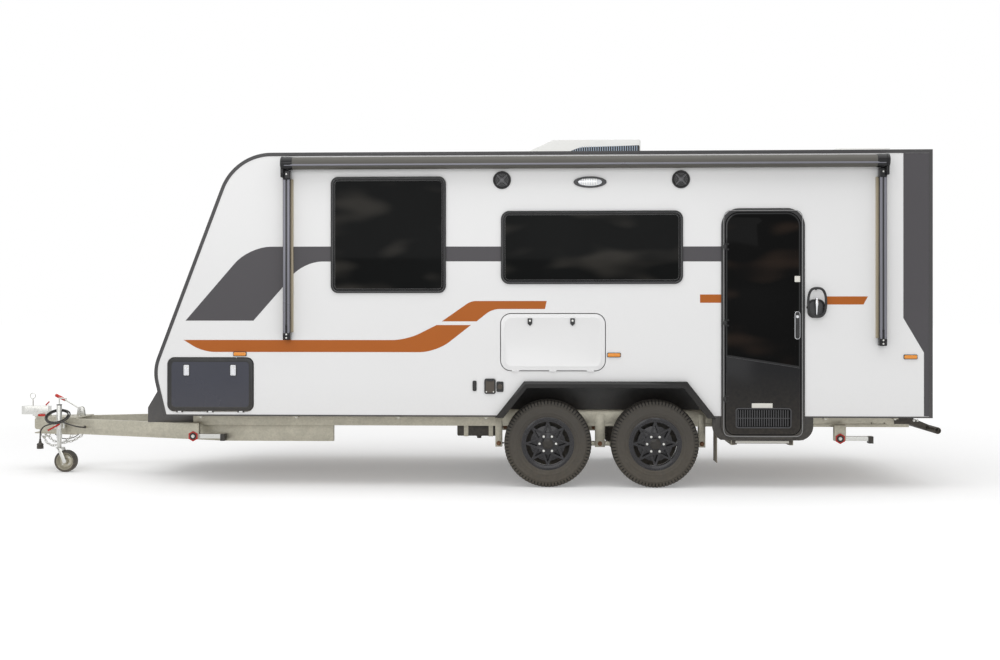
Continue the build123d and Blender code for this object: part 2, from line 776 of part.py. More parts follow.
with BuildPart() as drawbar:
    outer = moved_in(BEAM_LINE, half(BEAM_W))
    inner = moved_in(BEAM_LINE, -half(BEAM_W))
    for sign in SIDES.values():
        with BuildSketch(Plane.XY.offset(BEAM_BOTTOM)):
            Polygon(*[(x, sign * y) for x, y in outer + inner[::-1]], align=None)
        extrude(amount=BEAM_H)
        cheek_y = outward(sign, beam_y(BEAM_FRONT_X), beam_y(BEAM_FRONT_X) - PLATE_T)
        with BuildSketch(across(cheek_y[1])):
            with Locations((BEAM_FRONT_X, RAIL_BOTTOM - half(CHEEK_H))):
                RectangleRounded(CHEEK_L, CHEEK_H, CHEEK_R)
        extrude(amount=PLATE_T)
    front_x = BEAM_FRONT_X - half(CHEEK_L)
    back_x = BEAM_FRONT_X + HEAD_BACK
    front_y = beam_y(BEAM_FRONT_X)
    back_y = beam_y(back_x) - HEAD_LAP
    for plate_z in (BEAM_BOTTOM - PLATE_T, RAIL_BOTTOM):
        with BuildSketch(Plane.XY.offset(plate_z)):
            Polygon(
                (front_x, -front_y),
                (back_x, -back_y),
                (back_x, back_y),
                (front_x, front_y),
                align=None,
            )
        extrude(amount=PLATE_T)
    gland_start = (GLAND_X, half(BEAM_W) - beam_y(GLAND_X), GLAND_Z)
    rod(gland_start, (0, -1, 0), GLAND_R, GLAND_L + half(BEAM_W))
keep(drawbar, "drawbar")

# Coupling on the drawbar's head, with its socket for the tow ball
DECK_Z = RAIL_BOTTOM + PLATE_T
with BuildPart() as coupling:
    with BuildSketch(Plane.XY.offset(COUPLING_Z)):
        with Locations((half(SOCKET_X + COUPLING_BACK_X), 0)):
            Rectangle(COUPLING_BACK_X - SOCKET_X, 2 * COUPLING_HALF_W)
        with Locations((SOCKET_X, 0)):
            Circle(COUPLING_NOSE_R)
    extrude(amount=COUPLING_H)
    foot = (COUPLING_BACK_X - COUPLING_FOOT_L, COUPLING_BACK_X)
    block(foot, (-COUPLING_HALF_W, COUPLING_HALF_W), (DECK_Z, COUPLING_Z))
    socket_start = (SOCKET_X, 0, COUPLING_Z - OVERCUT)
    rod(socket_start, (0, 0, 1), SOCKET_R, SOCKET_DEPTH + OVERCUT, mode=Mode.SUBTRACT)
    rod((STALK_X, 0, COUPLING_Z + COUPLING_H), (0, 0, 1), STALK_R, STALK_H)
    with Locations(Plane(origin=(STALK_X, 0, COUPLING_Z + COUPLING_H + STALK_H + RING_R), z_dir=(0, 1, 0))):
        Torus(RING_R, half(STALK_R))
keep(coupling, "coupling")

# Handbrake lever on the drawbar's head
with BuildPart() as handbrake:
    block(
        span(BRAKE_PIVOT_X, BRAKE_POST_W),
        span(0, BRAKE_POST_W),
        (DECK_Z, BRAKE_PIVOT_Z + LEVER_R),
    )
    pivot = Vector(BRAKE_PIVOT_X, 0, BRAKE_PIVOT_Z)
    knee = Vector(BRAKE_KNEE_X, 0, BRAKE_KNEE_Z)
    tip = Vector(BRAKE_TIP_X, 0, BRAKE_TIP_Z)
    rod(pivot, knee - pivot, LEVER_R, (knee - pivot).length)
    rod(knee, tip - knee, GRIP_R, (tip - knee).length)
keep(handbrake, "handbrake")

# Jockey post: its clamp on the drawbar beam, the outer tube and the crank on top
POST_Y = -beam_y(JOCKEY_X) - JOCKEY_STANDOFF
with BuildPart() as jockey_clamp:
    block(span(JOCKEY_X, CLAMP_L), (POST_Y, -beam_y(JOCKEY_X) + BEAM_W), span(CLAMP_Z, CLAMP_H))
    add(drawbar.part, mode=Mode.SUBTRACT)
    block((BEAM_FRONT_X, 0), (-beam_y(JOCKEY_X) + BEAM_SIDE, 0), (0, ROOF_Z), mode=Mode.SUBTRACT)
    rod((JOCKEY_X, POST_Y, CLAMP_Z - half(CLAMP_H)), (0, 0, 1), CLAMP_R, CLAMP_H)
    rod((JOCKEY_X, POST_Y, POST_FOOT_Z), (0, 0, 1), POST_R, POST_HEAD_Z - POST_FOOT_Z)
    bore_l = POST_HEAD_Z - POST_CAP_T - POST_FOOT_Z
    rod((JOCKEY_X, POST_Y, POST_FOOT_Z), (0, 0, 1), LEG_R + FIT, bore_l, mode=Mode.SUBTRACT)
    rod((JOCKEY_X, POST_Y, POST_HEAD_Z), (0, 0, 1), CRANK_R, CRANK_H)
    rod((JOCKEY_X, POST_Y, POST_HEAD_Z + CRANK_H), (1, 0, 0), CRANK_R, CRANK_L)
keep(jockey_clamp, "jockey_clamp")

with BuildPart() as jockey_leg:
    rod((JOCKEY_X, POST_Y, FORK_CROWN_Z + FIT), (0, 0, 1), LEG_R, LEG_HEAD_Z - FORK_CROWN_Z - FIT)
    rod((JOCKEY_X, POST_Y, FORK_CROWN_Z + FIT), (0, 0, -1), SWIVEL_PIN_R, CROWN_T + 2 * FIT)
    rod((JOCKEY_X, POST_Y, FORK_CROWN_Z - CROWN_T - FIT), (0, 0, -1), SWIVEL_HEAD_R, SWIVEL_HEAD_T)
keep(jockey_leg, "jockey_leg")

JOCKEY_AXLE_X = JOCKEY_X + JOCKEY_TRAIL
FORK_INNER = half(JOCKEY_WHEEL_W) + CLEAR
FORK_OUTER = FORK_INNER + FORK_T
with BuildPart() as jockey_fork:
    with BuildSketch(Plane.XY.offset(FORK_CROWN_Z - CROWN_T)):
        with Locations((JOCKEY_X, POST_Y)):
            Circle(CROWN_R)
        with Locations((JOCKEY_X + half(CROWN_R), POST_Y)):
            Rectangle(CROWN_R, 2 * FORK_OUTER)
        with Locations((JOCKEY_X, POST_Y)):
            Circle(SWIVEL_PIN_R + FIT, mode=Mode.SUBTRACT)
    extrude(amount=CROWN_T)
    for sign in (-1, 1):
        low, high = sorted((POST_Y + sign * FORK_INNER, POST_Y + sign * FORK_OUTER))
        with BuildSketch(across(high)):
            with BuildLine():
                Polyline(
                    (JOCKEY_X, FORK_CROWN_Z),
                    (JOCKEY_X + CROWN_R, FORK_CROWN_Z),
                    (JOCKEY_AXLE_X + FORK_FOOT_R, JOCKEY_WHEEL_R),
                    (JOCKEY_AXLE_X - FORK_FOOT_R, JOCKEY_WHEEL_R),
                    (JOCKEY_X, FORK_CROWN_Z - CROWN_T),
                    close=True,
                )
            make_face()
            with Locations((JOCKEY_AXLE_X, JOCKEY_WHEEL_R)):
                Circle(FORK_FOOT_R)
        extrude(amount=FORK_T)
    rod((JOCKEY_AXLE_X, POST_Y - FORK_OUTER, JOCKEY_WHEEL_R), (0, 1, 0), JOCKEY_PIN_R, 2 * FORK_OUTER)
keep(jockey_fork, "jockey_fork")

with BuildPart() as jockey_wheel:
    with BuildSketch(Plane.YZ.offset(JOCKEY_AXLE_X)):
        for radius, width in (
            (JOCKEY_WHEEL_R, JOCKEY_TREAD_W),
            (half(JOCKEY_WHEEL_R + JOCKEY_RIM_R), JOCKEY_WHEEL_W),
            (JOCKEY_RIM_R, JOCKEY_DISH_W),
            (JOCKEY_HUB_R, JOCKEY_WHEEL_W),
        ):
            with Locations((POST_Y, JOCKEY_WHEEL_R + half(radius))):
                Rectangle(width, radius)
            if radius > JOCKEY_RIM_R:
                with Locations((POST_Y, JOCKEY_WHEEL_R + half(JOCKEY_RIM_R))):
                    Rectangle(width, JOCKEY_RIM_R, mode=Mode.SUBTRACT)
        with Locations((POST_Y, JOCKEY_WHEEL_R + half(JOCKEY_PIN_R + FIT))):
            Rectangle(JOCKEY_WHEEL_W + OVERCUT, JOCKEY_PIN_R + FIT, mode=Mode.SUBTRACT)
    revolve(axis=Axis((JOCKEY_AXLE_X, POST_Y, JOCKEY_WHEEL_R), (0, 1, 0)))
keep(jockey_wheel, "jockey_wheel")

# Trailer lead: from the gland on the drawbar to the loops round the post, and on to the plug
COIL_RUN_Y = COIL_R * cos(radians(COIL_TILT))
COIL_Y = POST_Y + POST_R + FIT + COIL_BUNDLE_R - COIL_RUN_Y
LEAD_IN = [
    (GLAND_X, -beam_y(GLAND_X) - GLAND_L, GLAND_Z),
    (GLAND_X, -346, GLAND_Z),
    (-3500, -386, 437),
    (-3565, -388, 455),
    (-3625, -364, 472),
    (-3652, -348, 479),
]
LEAD_OUT = [
    (-3700, -372, 465),
    (-3745, -388, 458),
    (-3795, -415, 440),
    (-3818, -427, 402),
    (-3821, -430, 362),
    (-3821, -430, 324),
]


def lead_radii(points):
    """The bend radius that each corner of a lead's route has room for."""
    radii = []
    for before, here, after in zip(points, points[1:], points[2:]):
        first = Vector(*here) - Vector(*before)
        second = Vector(*after) - Vector(*here)
        shorter = min(first.length, second.length)
        radii.append(BEND_SHARE * shorter / tan(radians(half(first.get_angle(second)))))
    return radii


with BuildPart() as trailer_lead_coil:
    with Locations(Location((JOCKEY_X, COIL_Y, COIL_Z), (COIL_TILT, 0, 0))):
        Torus(COIL_R, COIL_BUNDLE_R)
keep(trailer_lead_coil, "trailer_lead_coil")

with BuildPart() as trailer_lead:
    for points in (LEAD_IN, LEAD_OUT):
        with BuildLine():
            route = FilletPolyline(*points, radius=lead_radii(points))
        with BuildSketch(Plane(origin=route @ 0, z_dir=route % 0)):
            Circle(half(LEAD_D))
        sweep(path=route)
    add(trailer_lead_coil.part, mode=Mode.SUBTRACT)
keep(trailer_lead, "trailer_lead")

PLUG_TOP = Vector(*LEAD_OUT[-1])
with BuildPart() as trailer_plug:
    rod(PLUG_TOP, (0, 0, -1), PLUG_NECK_R, PLUG_NECK_H)
    rod(PLUG_TOP - Vector(0, 0, PLUG_NECK_H), (0, 0, -1), PLUG_R, PLUG_H)
keep(trailer_plug, "trailer_plug")

# Locker at the front, on the drawbar against the front wall
with BuildPart() as gas_locker:
    with BuildSketch(across(LOCKER_HALF_W)):
        Polygon(
            (LOCKER_FRONT_X, RAIL_BOTTOM),
            (LOCKER_FRONT_X, LOCKER_BREAK_Z),
            (half(KNUCKLE_X + FOOT_X), LOCKER_TOP_Z),
            (LOCKER_REAR_X, LOCKER_TOP_Z),
            (LOCKER_REAR_X, RAIL_BOTTOM),
            align=None,
        )
        add(body_face(-FIT, SKIRT_Z - FIT), mode=Mode.SUBTRACT)
        with Locations((LOCKER_REAR_X, LOCKER_TOP_Z)):
            width = 2 * (LOCKER_REAR_X - FOOT_X)
            Rectangle(width, 2 * (LOCKER_TOP_Z - SKIRT_Z - OVERCUT), mode=Mode.SUBTRACT)
    extrude(amount=2 * LOCKER_HALF_W)
keep(gas_locker, "gas_locker")

# Wheels and tyres
for place, axle_x in AXLES.items():
    for side, sign in SIDES.items():
        centre = Vector(axle_x, sign * TYRE_Y, TYRE_R)
        outward_axis = Axis(centre, (0, sign, 0))

        with BuildPart() as tyre:
            with BuildSketch(Plane(origin=centre, x_dir=(0, 1, 0), z_dir=(1, 0, 0))):
                with BuildLine():
                    Line((-half(BEAD_W), BEAD_R), (half(BEAD_W), BEAD_R))
                    for edge in (-1, 1):
                        bead = (edge * half(BEAD_W), BEAD_R)
                        belly = (edge * half(TYRE_W), BELLY_R)
                        shoulder = (edge * half(SHOULDER_W), TYRE_R - SHOULDER_DROP)
                        tread = (edge * half(TREAD_W), TYRE_R - CROWN_DROP)
                        lip = (edge * half(BEAD_W), RIM_LIP_R + FIT)
                        Line(bead, lip)
                        ThreePointArc(lip, belly, shoulder)
                        Line(shoulder, tread)
                    left = (-half(TREAD_W), TYRE_R - CROWN_DROP)
                    right = (half(TREAD_W), TYRE_R - CROWN_DROP)
                    ThreePointArc(left, (0, TYRE_R), right)
                make_face()
            revolve(axis=outward_axis)
        keep(tyre, f"tyre_{place}_{side}")

        face = Plane(origin=centre, x_dir=(1, 0, 0), z_dir=(0, sign, 0))
        rim_r = BEAD_R - FIT
        lip_y = half(BEAD_W) + FIT
        pad_start = SPOKE_FRONT - PAD_T
        with BuildPart() as wheel:
            for outer_r, inner_r, start, length in (
                (rim_r, rim_r - RIM_WALL, -lip_y, 2 * lip_y),
                (RIM_LIP_R, rim_r - RIM_WALL, lip_y, RIM_LIP),
                (RIM_LIP_R, rim_r - RIM_WALL, -lip_y - RIM_LIP, RIM_LIP),
                (rim_r, FACE_R, SPOKE_FRONT - SPOKE_T, SPOKE_T + RIM_LIP),
                (PAD_R, 0, pad_start, PAD_T),
                (CAP_R, 0, SPOKE_FRONT, CAP_T),
                (DRUM_R, 0, pad_start - DRUM_W, DRUM_W),
            ):
                with BuildSketch(face.offset(start)):
                    Circle(outer_r)
                    if inner_r:
                        Circle(inner_r, mode=Mode.SUBTRACT)
                extrude(amount=length)
            with BuildSketch(face.offset(SPOKE_FRONT - SPOKE_T)):
                for spoke in range(SPOKE_COUNT):
                    for lean in (-1, 1):
                        tip = radians(90 + 360 * spoke / SPOKE_COUNT)
                        root = tip + lean * radians(180 / SPOKE_COUNT)
                        tip_x, tip_y = FACE_R * cos(tip), FACE_R * sin(tip)
                        root_x, root_y = PAD_R * cos(root), PAD_R * sin(root)
                        length = hypot(tip_x - root_x, tip_y - root_y)
                        angle = degrees(atan2(tip_y - root_y, tip_x - root_x))
                        with Locations(Location((half(tip_x + root_x), half(tip_y + root_y)), angle)):
                            Rectangle(length + SPOKE_W, SPOKE_W)
            extrude(amount=SPOKE_T)
            with BuildSketch(face.offset(SPOKE_FRONT)):
                with PolarLocations(STUD_CIRCLE_R, STUD_COUNT):
                    Circle(STUD_R)
            extrude(amount=STUD_T)
            with BuildSketch(face.offset(pad_start - DRUM_W)):
                Circle(STUB_R + FIT)
            extrude(amount=STUB_L + CLEAR, mode=Mode.SUBTRACT)
        keep(wheel, f"wheel_{place}_{side}")

# Axles: beam, backing plates and stub shafts
BACKPLATE_Y = TYRE_Y + SPOKE_FRONT - PAD_T - DRUM_W - CLEAR - BACKPLATE_T
with BuildPart() as axles:
    for axle_x in AXLES.values():
        block(span(axle_x, AXLE_BEAM), (-BACKPLATE_Y, BACKPLATE_Y), span(TYRE_R, AXLE_BEAM))
        for sign in SIDES.values():
            start = (axle_x, sign * BACKPLATE_Y, TYRE_R)
            rod(start, (0, sign, 0), DRUM_R, BACKPLATE_T)
            rod(start, (0, sign, 0), STUB_R, BACKPLATE_T + CLEAR + STUB_L)
keep(axles, "axles")

# Leaf springs under the axles, and the rockers between them
LEAF_TOP = TYRE_R - half(AXLE_BEAM)
with BuildPart() as leaf_springs:
    for sign in SIDES.values():
        low, high = outward(sign, RAIL_Y - half(SPRING_W), RAIL_Y + half(SPRING_W))
        for end, axle_x in ((-1, AXLES["front"]), (1, AXLES["rear"])):
            outer_x = axle_x + end * HANGER_REACH
            inner_x = AXLE_MID_X + end * ROCKER_REACH
            with BuildSketch(across(high)):
                for leaf in range(LEAF_COUNT):
                    first, last = sorted((outer_x, inner_x))
                    first += leaf * LEAF_STEP
                    last -= leaf * LEAF_STEP
                    with Locations((half(first + last), LEAF_TOP - half(LEAF_T) - leaf * LEAF_T)):
                        Rectangle(last - first, LEAF_T)
                with Locations((outer_x, SPRING_PIN_Z), (inner_x, SPRING_PIN_Z)):
                    Circle(EYE_R)
                with Locations((outer_x, SPRING_PIN_Z), (inner_x, SPRING_PIN_Z)):
                    Circle(PIN_R + FIT, mode=Mode.SUBTRACT)
            extrude(amount=SPRING_W)
keep(leaf_springs, "leaf_springs")

with BuildPart() as spring_rockers:
    for sign in SIDES.values():
        cheek_w = SPRING_W + 2 * (CLEAR + ROCKER_CHEEK)
        rocker_h = 2 * EYE_R
        tip = ROCKER_REACH + EYE_R
        z_span = span(SPRING_PIN_Z, rocker_h)
        middle_y = sign * RAIL_Y
        block(span(AXLE_MID_X, 2 * ROCKER_YOKE), span(middle_y, ROCKER_W), z_span)
        for end in (-1, 1):
            x_span = sorted((AXLE_MID_X + end * ROCKER_YOKE, AXLE_MID_X + end * tip))
            slot = sorted((AXLE_MID_X + end * ROCKER_SLOT, AXLE_MID_X + end * (tip + OVERCUT)))
            block(x_span, span(middle_y, cheek_w), z_span)
            block(slot, span(middle_y, SPRING_W + 2 * CLEAR), z_span, mode=Mode.SUBTRACT)
            pin_x = AXLE_MID_X + end * ROCKER_REACH
            rod((pin_x, middle_y - half(cheek_w), SPRING_PIN_Z), (0, 1, 0), PIN_R, cheek_w)
        start = (AXLE_MID_X, middle_y - half(cheek_w), SPRING_PIN_Z)
        rod(start, (0, 1, 0), PIN_R + FIT, cheek_w, mode=Mode.SUBTRACT)
keep(spring_rockers, "spring_rockers")

# Water tank under the floor, between the rails
with BuildPart() as water_tank:
    tank_half_w = inner_y - TANK_SIDE_GAP
    block(TANK_X, (-tank_half_w, tank_half_w), (TANK_BOTTOM_Z, RAIL_TOP - CROSS_H))
keep(water_tank, "water_tank")

# Mud flaps behind the wheels
with BuildPart() as mud_flaps:
    for sign in SIDES.values():
        flap_x = AXLE_MID_X + ARCH_REAR + FLAP_GAP
        flap_y = outward(sign, TYRE_Y - half(TYRE_W), INNER_Y - CLEAR)
        block((flap_x, flap_x + FLAP_T), flap_y, (FLAP_FOOT_Z, RAIL_TOP))
keep(mud_flaps, "mud_flaps")

# Bumper tube on arms from the rails
with BuildPart() as bumper:
    rod((BUMPER_X, -BUMPER_HALF_L, BUMPER_Z), (0, 1, 0), BUMPER_R, 2 * BUMPER_HALF_L)
    for sign in SIDES.values():
        low, high = outward(sign, RAIL_OUT_Y, RAIL_OUT_Y + BUMPER_ARM_T)
        with BuildSketch(across(high)):
            bottom, top = span(BUMPER_ARM_Z, BUMPER_ARM_H)
            start_x = RAIL_REAR_X - 2 * BUMPER_ARM_H
            Polygon(
                (start_x, bottom),
                (start_x, top),
                (RAIL_REAR_X, top),
                (BUMPER_X, BUMPER_Z + BUMPER_R),
                (BUMPER_X, BUMPER_Z - BUMPER_R),
                (RAIL_REAR_X, bottom),
                align=None,
            )
        extrude(amount=BUMPER_ARM_T)
keep(bumper, "bumper")

# Lamps
with BuildPart() as marker_lamps:
    for sign in SIDES.values():
        low, high = outward(sign, HALF_W, HALF_W + MARKER_T)
        with BuildSketch(across(high)):
            for x, z in MARKERS:
                rounded(x, z, MARKER_W, MARKER_H, half(half(MARKER_H)))
        extrude(amount=MARKER_T)
keep(marker_lamps, "marker_lamps")

with BuildPart() as tail_lamps:
    with BuildSketch(Plane.YZ.offset(REAR_X)):
        with Locations((-TAIL_Y, TAIL_Z), (TAIL_Y, TAIL_Z)):
            RectangleRounded(TAIL_W, TAIL_H, half(half(TAIL_H)))
    extrude(amount=TAIL_T)
keep(tail_lamps, "tail_lamps")

# Air conditioner: a wedge with rounded corners
with BuildPart() as air_conditioner:
    with BuildSketch(across(COOLER_HALF_W)):
        Polygon(
            (COOLER_FRONT_X, ROOF_Z),
            (COOLER_FRONT_X, ROOF_Z + COOLER_NOSE_H),
            (COOLER_FRONT_X + COOLER_SLOPE, COOLER_TOP_Z),
            (COOLER_REAR_X, COOLER_TOP_Z),
            (COOLER_REAR_X, ROOF_Z),
            align=None,
        )
    extrude(amount=2 * COOLER_HALF_W)
    fillet(air_conditioner.edges().filter_by(Axis.Z), COOLER_R)
keep(air_conditioner, "air_conditioner")

# Roof hatch lid, hinged at the front of its frame
with BuildPart() as roof_hatch_lid:
    lid_z = HATCH_FRAME_TOP + CLEAR
    with BuildSketch(Plane.XY.offset(lid_z)):
        with Locations((HATCH_X, 0)):
            Rectangle(HATCH_SIZE, HATCH_SIZE)
    extrude(amount=HATCH_LID_H, taper=HATCH_TAPER)
    with BuildSketch(Plane.XY.offset(lid_z)):
        with Locations((HATCH_X, 0)):
            Rectangle(HATCH_SIZE - 2 * HATCH_WALL, HATCH_SIZE - 2 * HATCH_WALL)
    extrude(amount=HATCH_LID_H - HATCH_WALL, taper=HATCH_TAPER, mode=Mode.SUBTRACT)
    for y in HATCH_HINGE_YS:
        for end in (-1, 1):
            start = y + end * half(half(HINGE_L))
            ends = sorted((start, start + end * half(half(HINGE_L))))
            tab_x = (HATCH_HINGE_X, HATCH_X - half(HATCH_SIZE) + HATCH_WALL)
            block(tab_x, ends, (lid_z, lid_z + TAB_T))
            rod((HATCH_HINGE_X, ends[0], HATCH_HINGE_Z), (0, 1, 0), KNUCKLE_BARREL_R, ends[1] - ends[0])
            rod((HATCH_HINGE_X, ends[0], HATCH_HINGE_Z), (0, 1, 0), HINGE_PIN_R + FIT,
                ends[1] - ends[0], mode=Mode.SUBTRACT)
keep(roof_hatch_lid, "roof_hatch_lid")

# Awning: its rolled cloth between end caps, and the arms on the wall
ROLLER_Y = -HALF_W - ROLLER_STANDOFF
with BuildPart() as awning_roller:
    roller_start = ROLLER_FRONT_X + END_CAP_T + FIT
    roller_l = ROLLER_REAR_X - END_CAP_T - FIT - roller_start
    rod((roller_start, ROLLER_Y, ROLLER_Z), (1, 0, 0), ROLLER_R, roller_l)
keep(awning_roller, "awning_roller")

with BuildPart() as awning_arms:
    arm_out = ARM_STANDOFF + ARM_T
    ends = ((ROLLER_FRONT_X, ARM_FOOTS[0], 1), (ROLLER_REAR_X, ARM_FOOTS[1], -1))
    arm_top = ROLLER_Z - ROLLER_R - CLEAR
    for cap_x, foot_z, inward in ends:
        arm_x = cap_x + inward * half(ARM_W + END_CAP_T)
        block(span(arm_x, ARM_W), outward(-1, HALF_W + ARM_STANDOFF, HALF_W + arm_out), (foot_z, arm_top))
        channel = outward(-1, HALF_W, HALF_W + CHANNEL_T)
        block(span(arm_x, CHANNEL_W), channel, (foot_z, arm_top))
        for low_z, high_z in ((foot_z, foot_z + ARM_W), (arm_top - ARM_W, arm_top)):
            bridge = outward(-1, HALF_W + CHANNEL_T, HALF_W + ARM_STANDOFF)
            block(span(arm_x, CHANNEL_W), bridge, (low_z, high_z))
        cap_xs = sorted((cap_x, cap_x + inward * END_CAP_T))
        rod((cap_xs[0], ROLLER_Y, ROLLER_Z), (1, 0, 0), ROLLER_R + CLEAR, END_CAP_T)
        cap_y = (ROLLER_Y - ARM_STANDOFF, -HALF_W)
        block(cap_xs, cap_y, (arm_top - ARM_W, ROLLER_Z))
        knee_xs = sorted((cap_xs[0] if inward > 0 else cap_xs[1], arm_x))
        block(knee_xs, outward(-1, HALF_W + ARM_STANDOFF, HALF_W + arm_out), (arm_top - ARM_W, arm_top))
keep(awning_arms, "awning_arms")

# Fittings on the side walls
for name, (side, radius, thickness, places) in FITTINGS.items():
    with BuildPart() as fitting:
        low, high = outward(SIDES[side], HALF_W, HALF_W + thickness)
        with BuildSketch(across(high)):
            for x, z, width, height in places:
                rounded(x, z, width, height, min(radius, half(min(width, height)) - OVERCUT))
        extrude(amount=thickness)
    keep(fitting, name)

# Grab handle beside the door
with BuildPart() as grab_handle:
    with BuildSketch(across(-HALF_W)):
        rounded(GRAB_X, GRAB_Z - half(half(GRAB_H)), GRAB_W, half(GRAB_H), half(GRAB_R))
    extrude(amount=GRAB_BASE_T)
    with BuildSketch(across(-HALF_W)):
        rounded(GRAB_X, GRAB_Z, GRAB_W, GRAB_H, GRAB_R)
        inner = (GRAB_W - 2 * GRAB_BAR, GRAB_H - 2 * GRAB_BAR, GRAB_R - GRAB_BAR)
        rounded(GRAB_X, GRAB_Z, *inner, mode=Mode.SUBTRACT)
    extrude(amount=GRAB_OUT)
keep(grab_handle, "grab_handle")

# Entry door leaf
with BuildPart() as entry_door:
    with BuildSketch(across(-HALF_W - DOOR_PROUD + DOOR_T)):
        add(door_face(DOOR_LEAF_INSET))
    extrude(amount=DOOR_T)
    for z in DOOR_HINGE_ZS:
        for end in (-1, 1):
            start = z + end * half(half(HINGE_L))
            ends = sorted((start, start + end * half(half(HINGE_L))))
            tab_y = outward(-1, HALF_W + DOOR_PROUD, HALF_W + DOOR_HINGE_OUT)
            block((DOOR_HINGE_X, DOOR_HINGE_X + DOOR_BAR), tab_y, ends)
            foot = (DOOR_HINGE_X, -HALF_W - DOOR_HINGE_OUT, ends[0])
            rod(foot, (0, 0, 1), KNUCKLE_BARREL_R, ends[1] - ends[0])
            rod(foot, (0, 0, 1), HINGE_PIN_R + FIT, ends[1] - ends[0], mode=Mode.SUBTRACT)
keep(entry_door, "entry_door")

# Boot lids and the picnic table
for name, side, x, z, width, height, radius in LIDS:
    sign = SIDES[side]
    with BuildPart() as lid:
        low, high = outward(sign, HALF_W + LID_PROUD - LID_T, HALF_W + LID_PROUD)
        with BuildSketch(across(high)):
            rounded(x, z, width, height, radius)
        extrude(amount=LID_T)
        axis_z = lid_axis(z, height)
        for hinge_x in lid_hinge_xs(x, width):
            for end in (-1, 1):
                start = hinge_x + end * half(half(HINGE_L))
                ends = sorted((start, start + end * half(half(HINGE_L))))
                tab_y = outward(sign, HALF_W + HINGE_GAP, HALF_W + LID_PROUD)
                block(ends, tab_y, (axis_z, z - half(height) + TAB_T))
                foot = (ends[0], sign * (HALF_W + HINGE_OUT), axis_z)
                rod(foot, (1, 0, 0), KNUCKLE_BARREL_R, ends[1] - ends[0])
                rod(foot, (1, 0, 0), HINGE_PIN_R + FIT, ends[1] - ends[0], mode=Mode.SUBTRACT)
    keep(lid, name)

# Pull-out step
STEP_TOP = RUNNER_TOP - RUNNER_WALL - FIT
with BuildPart() as entry_step:
    slider_z = (RUNNER_BOTTOM + RUNNER_WALL + FIT, STEP_TOP)
    step_y = (-INNER_Y, -INNER_Y + STEP_DEPTH)
    for x in RUNNER_XS:
        inward = 1 if x < DOOR_X else -1
        outer_x = x - inward * (half(RUNNER_W) - RUNNER_WALL - FIT)
        inner_x = x + inward * (half(RUNNER_W) + STEP_RAIL_W)
        block(sorted((outer_x, inner_x)), step_y, slider_z)
    block(span(DOOR_X, STEP_W - 2 * CLEAR), step_y, (STEP_TOP - STEP_T, STEP_TOP))
keep(entry_step, "entry_step")

# Corner steadies: brackets on the rails, and the legs folded back under them
STEADY_Y = RAIL_OUT_Y + STEADY_GAP + half(STEADY_FOOT_W)
STEADY_IN = half(STEADY_W) + STEADY_SIDE_GAP
STEADY_OUT = STEADY_IN + STEADY_WALL
with BuildPart() as steady_brackets:
    for name, side, x in STEADIES:
        sign = SIDES[side]
        bridge_z = (STEADY_SEAT_Z, STEADY_SEAT_Z + STEADY_WALL)
        for inner, outer in ((-STEADY_OUT, -STEADY_IN), (STEADY_IN, STEADY_OUT)):
            plate = outward(sign, STEADY_Y + inner, STEADY_Y + outer)
            block(span(x, STEADY_BRACKET_L), plate, (STEADY_Z - half(STEADY_H), bridge_z[0]))
        block(span(x, STEADY_BRACKET_L), outward(sign, RAIL_OUT_Y, STEADY_Y + STEADY_OUT), bridge_z)
        start = (x, sign * (STEADY_Y - STEADY_OUT), STEADY_Z)
        rod(start, (0, sign, 0), STEADY_PIN_R, 2 * STEADY_OUT)
keep(steady_brackets, "steady_brackets")

for name, side, x in STEADIES:
    sign = SIDES[side]
    with BuildPart() as steady:
        leg_y = span(sign * STEADY_Y, STEADY_W)
        with BuildSketch(across(leg_y[1])):
            with Locations((x, STEADY_Z)):
                Circle(half(STEADY_H))
            with Locations((x + half(STEADY_L), STEADY_Z)):
                Rectangle(STEADY_L, STEADY_H)
            with Locations((x, STEADY_Z)):
                Circle(STEADY_PIN_R + FIT, mode=Mode.SUBTRACT)
        extrude(amount=STEADY_W)
        foot_x = x + STEADY_L
        foot_y = span(sign * STEADY_Y, STEADY_FOOT_W)
        block(span(foot_x, STEADY_H), foot_y, (STEADY_Z - STEADY_H, STEADY_Z + half(STEADY_H)))
    keep(steady, name)
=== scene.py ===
"""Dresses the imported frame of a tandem-axle travel caravan: finishes, stripes, glass, tyres and fittings."""

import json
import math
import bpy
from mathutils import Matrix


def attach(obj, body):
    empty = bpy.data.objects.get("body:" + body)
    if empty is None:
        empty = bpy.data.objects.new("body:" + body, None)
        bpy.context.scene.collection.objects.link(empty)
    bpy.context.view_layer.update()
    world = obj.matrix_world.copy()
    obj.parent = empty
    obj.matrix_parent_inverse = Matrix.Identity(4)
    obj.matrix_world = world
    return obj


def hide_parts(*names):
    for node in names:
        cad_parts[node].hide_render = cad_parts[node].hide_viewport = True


bl_info = {
    "name": "Travel Caravan",
    "version": (1, 0, 0),
    "blender": (4, 5, 0),
    "location": "View3D > Sidebar > Caravan",
    "description": "Dresses the frame of a travel caravan with its finishes and fittings",
    "category": "Object",
}

import bmesh
import bpy
from mathutils import Matrix, Vector

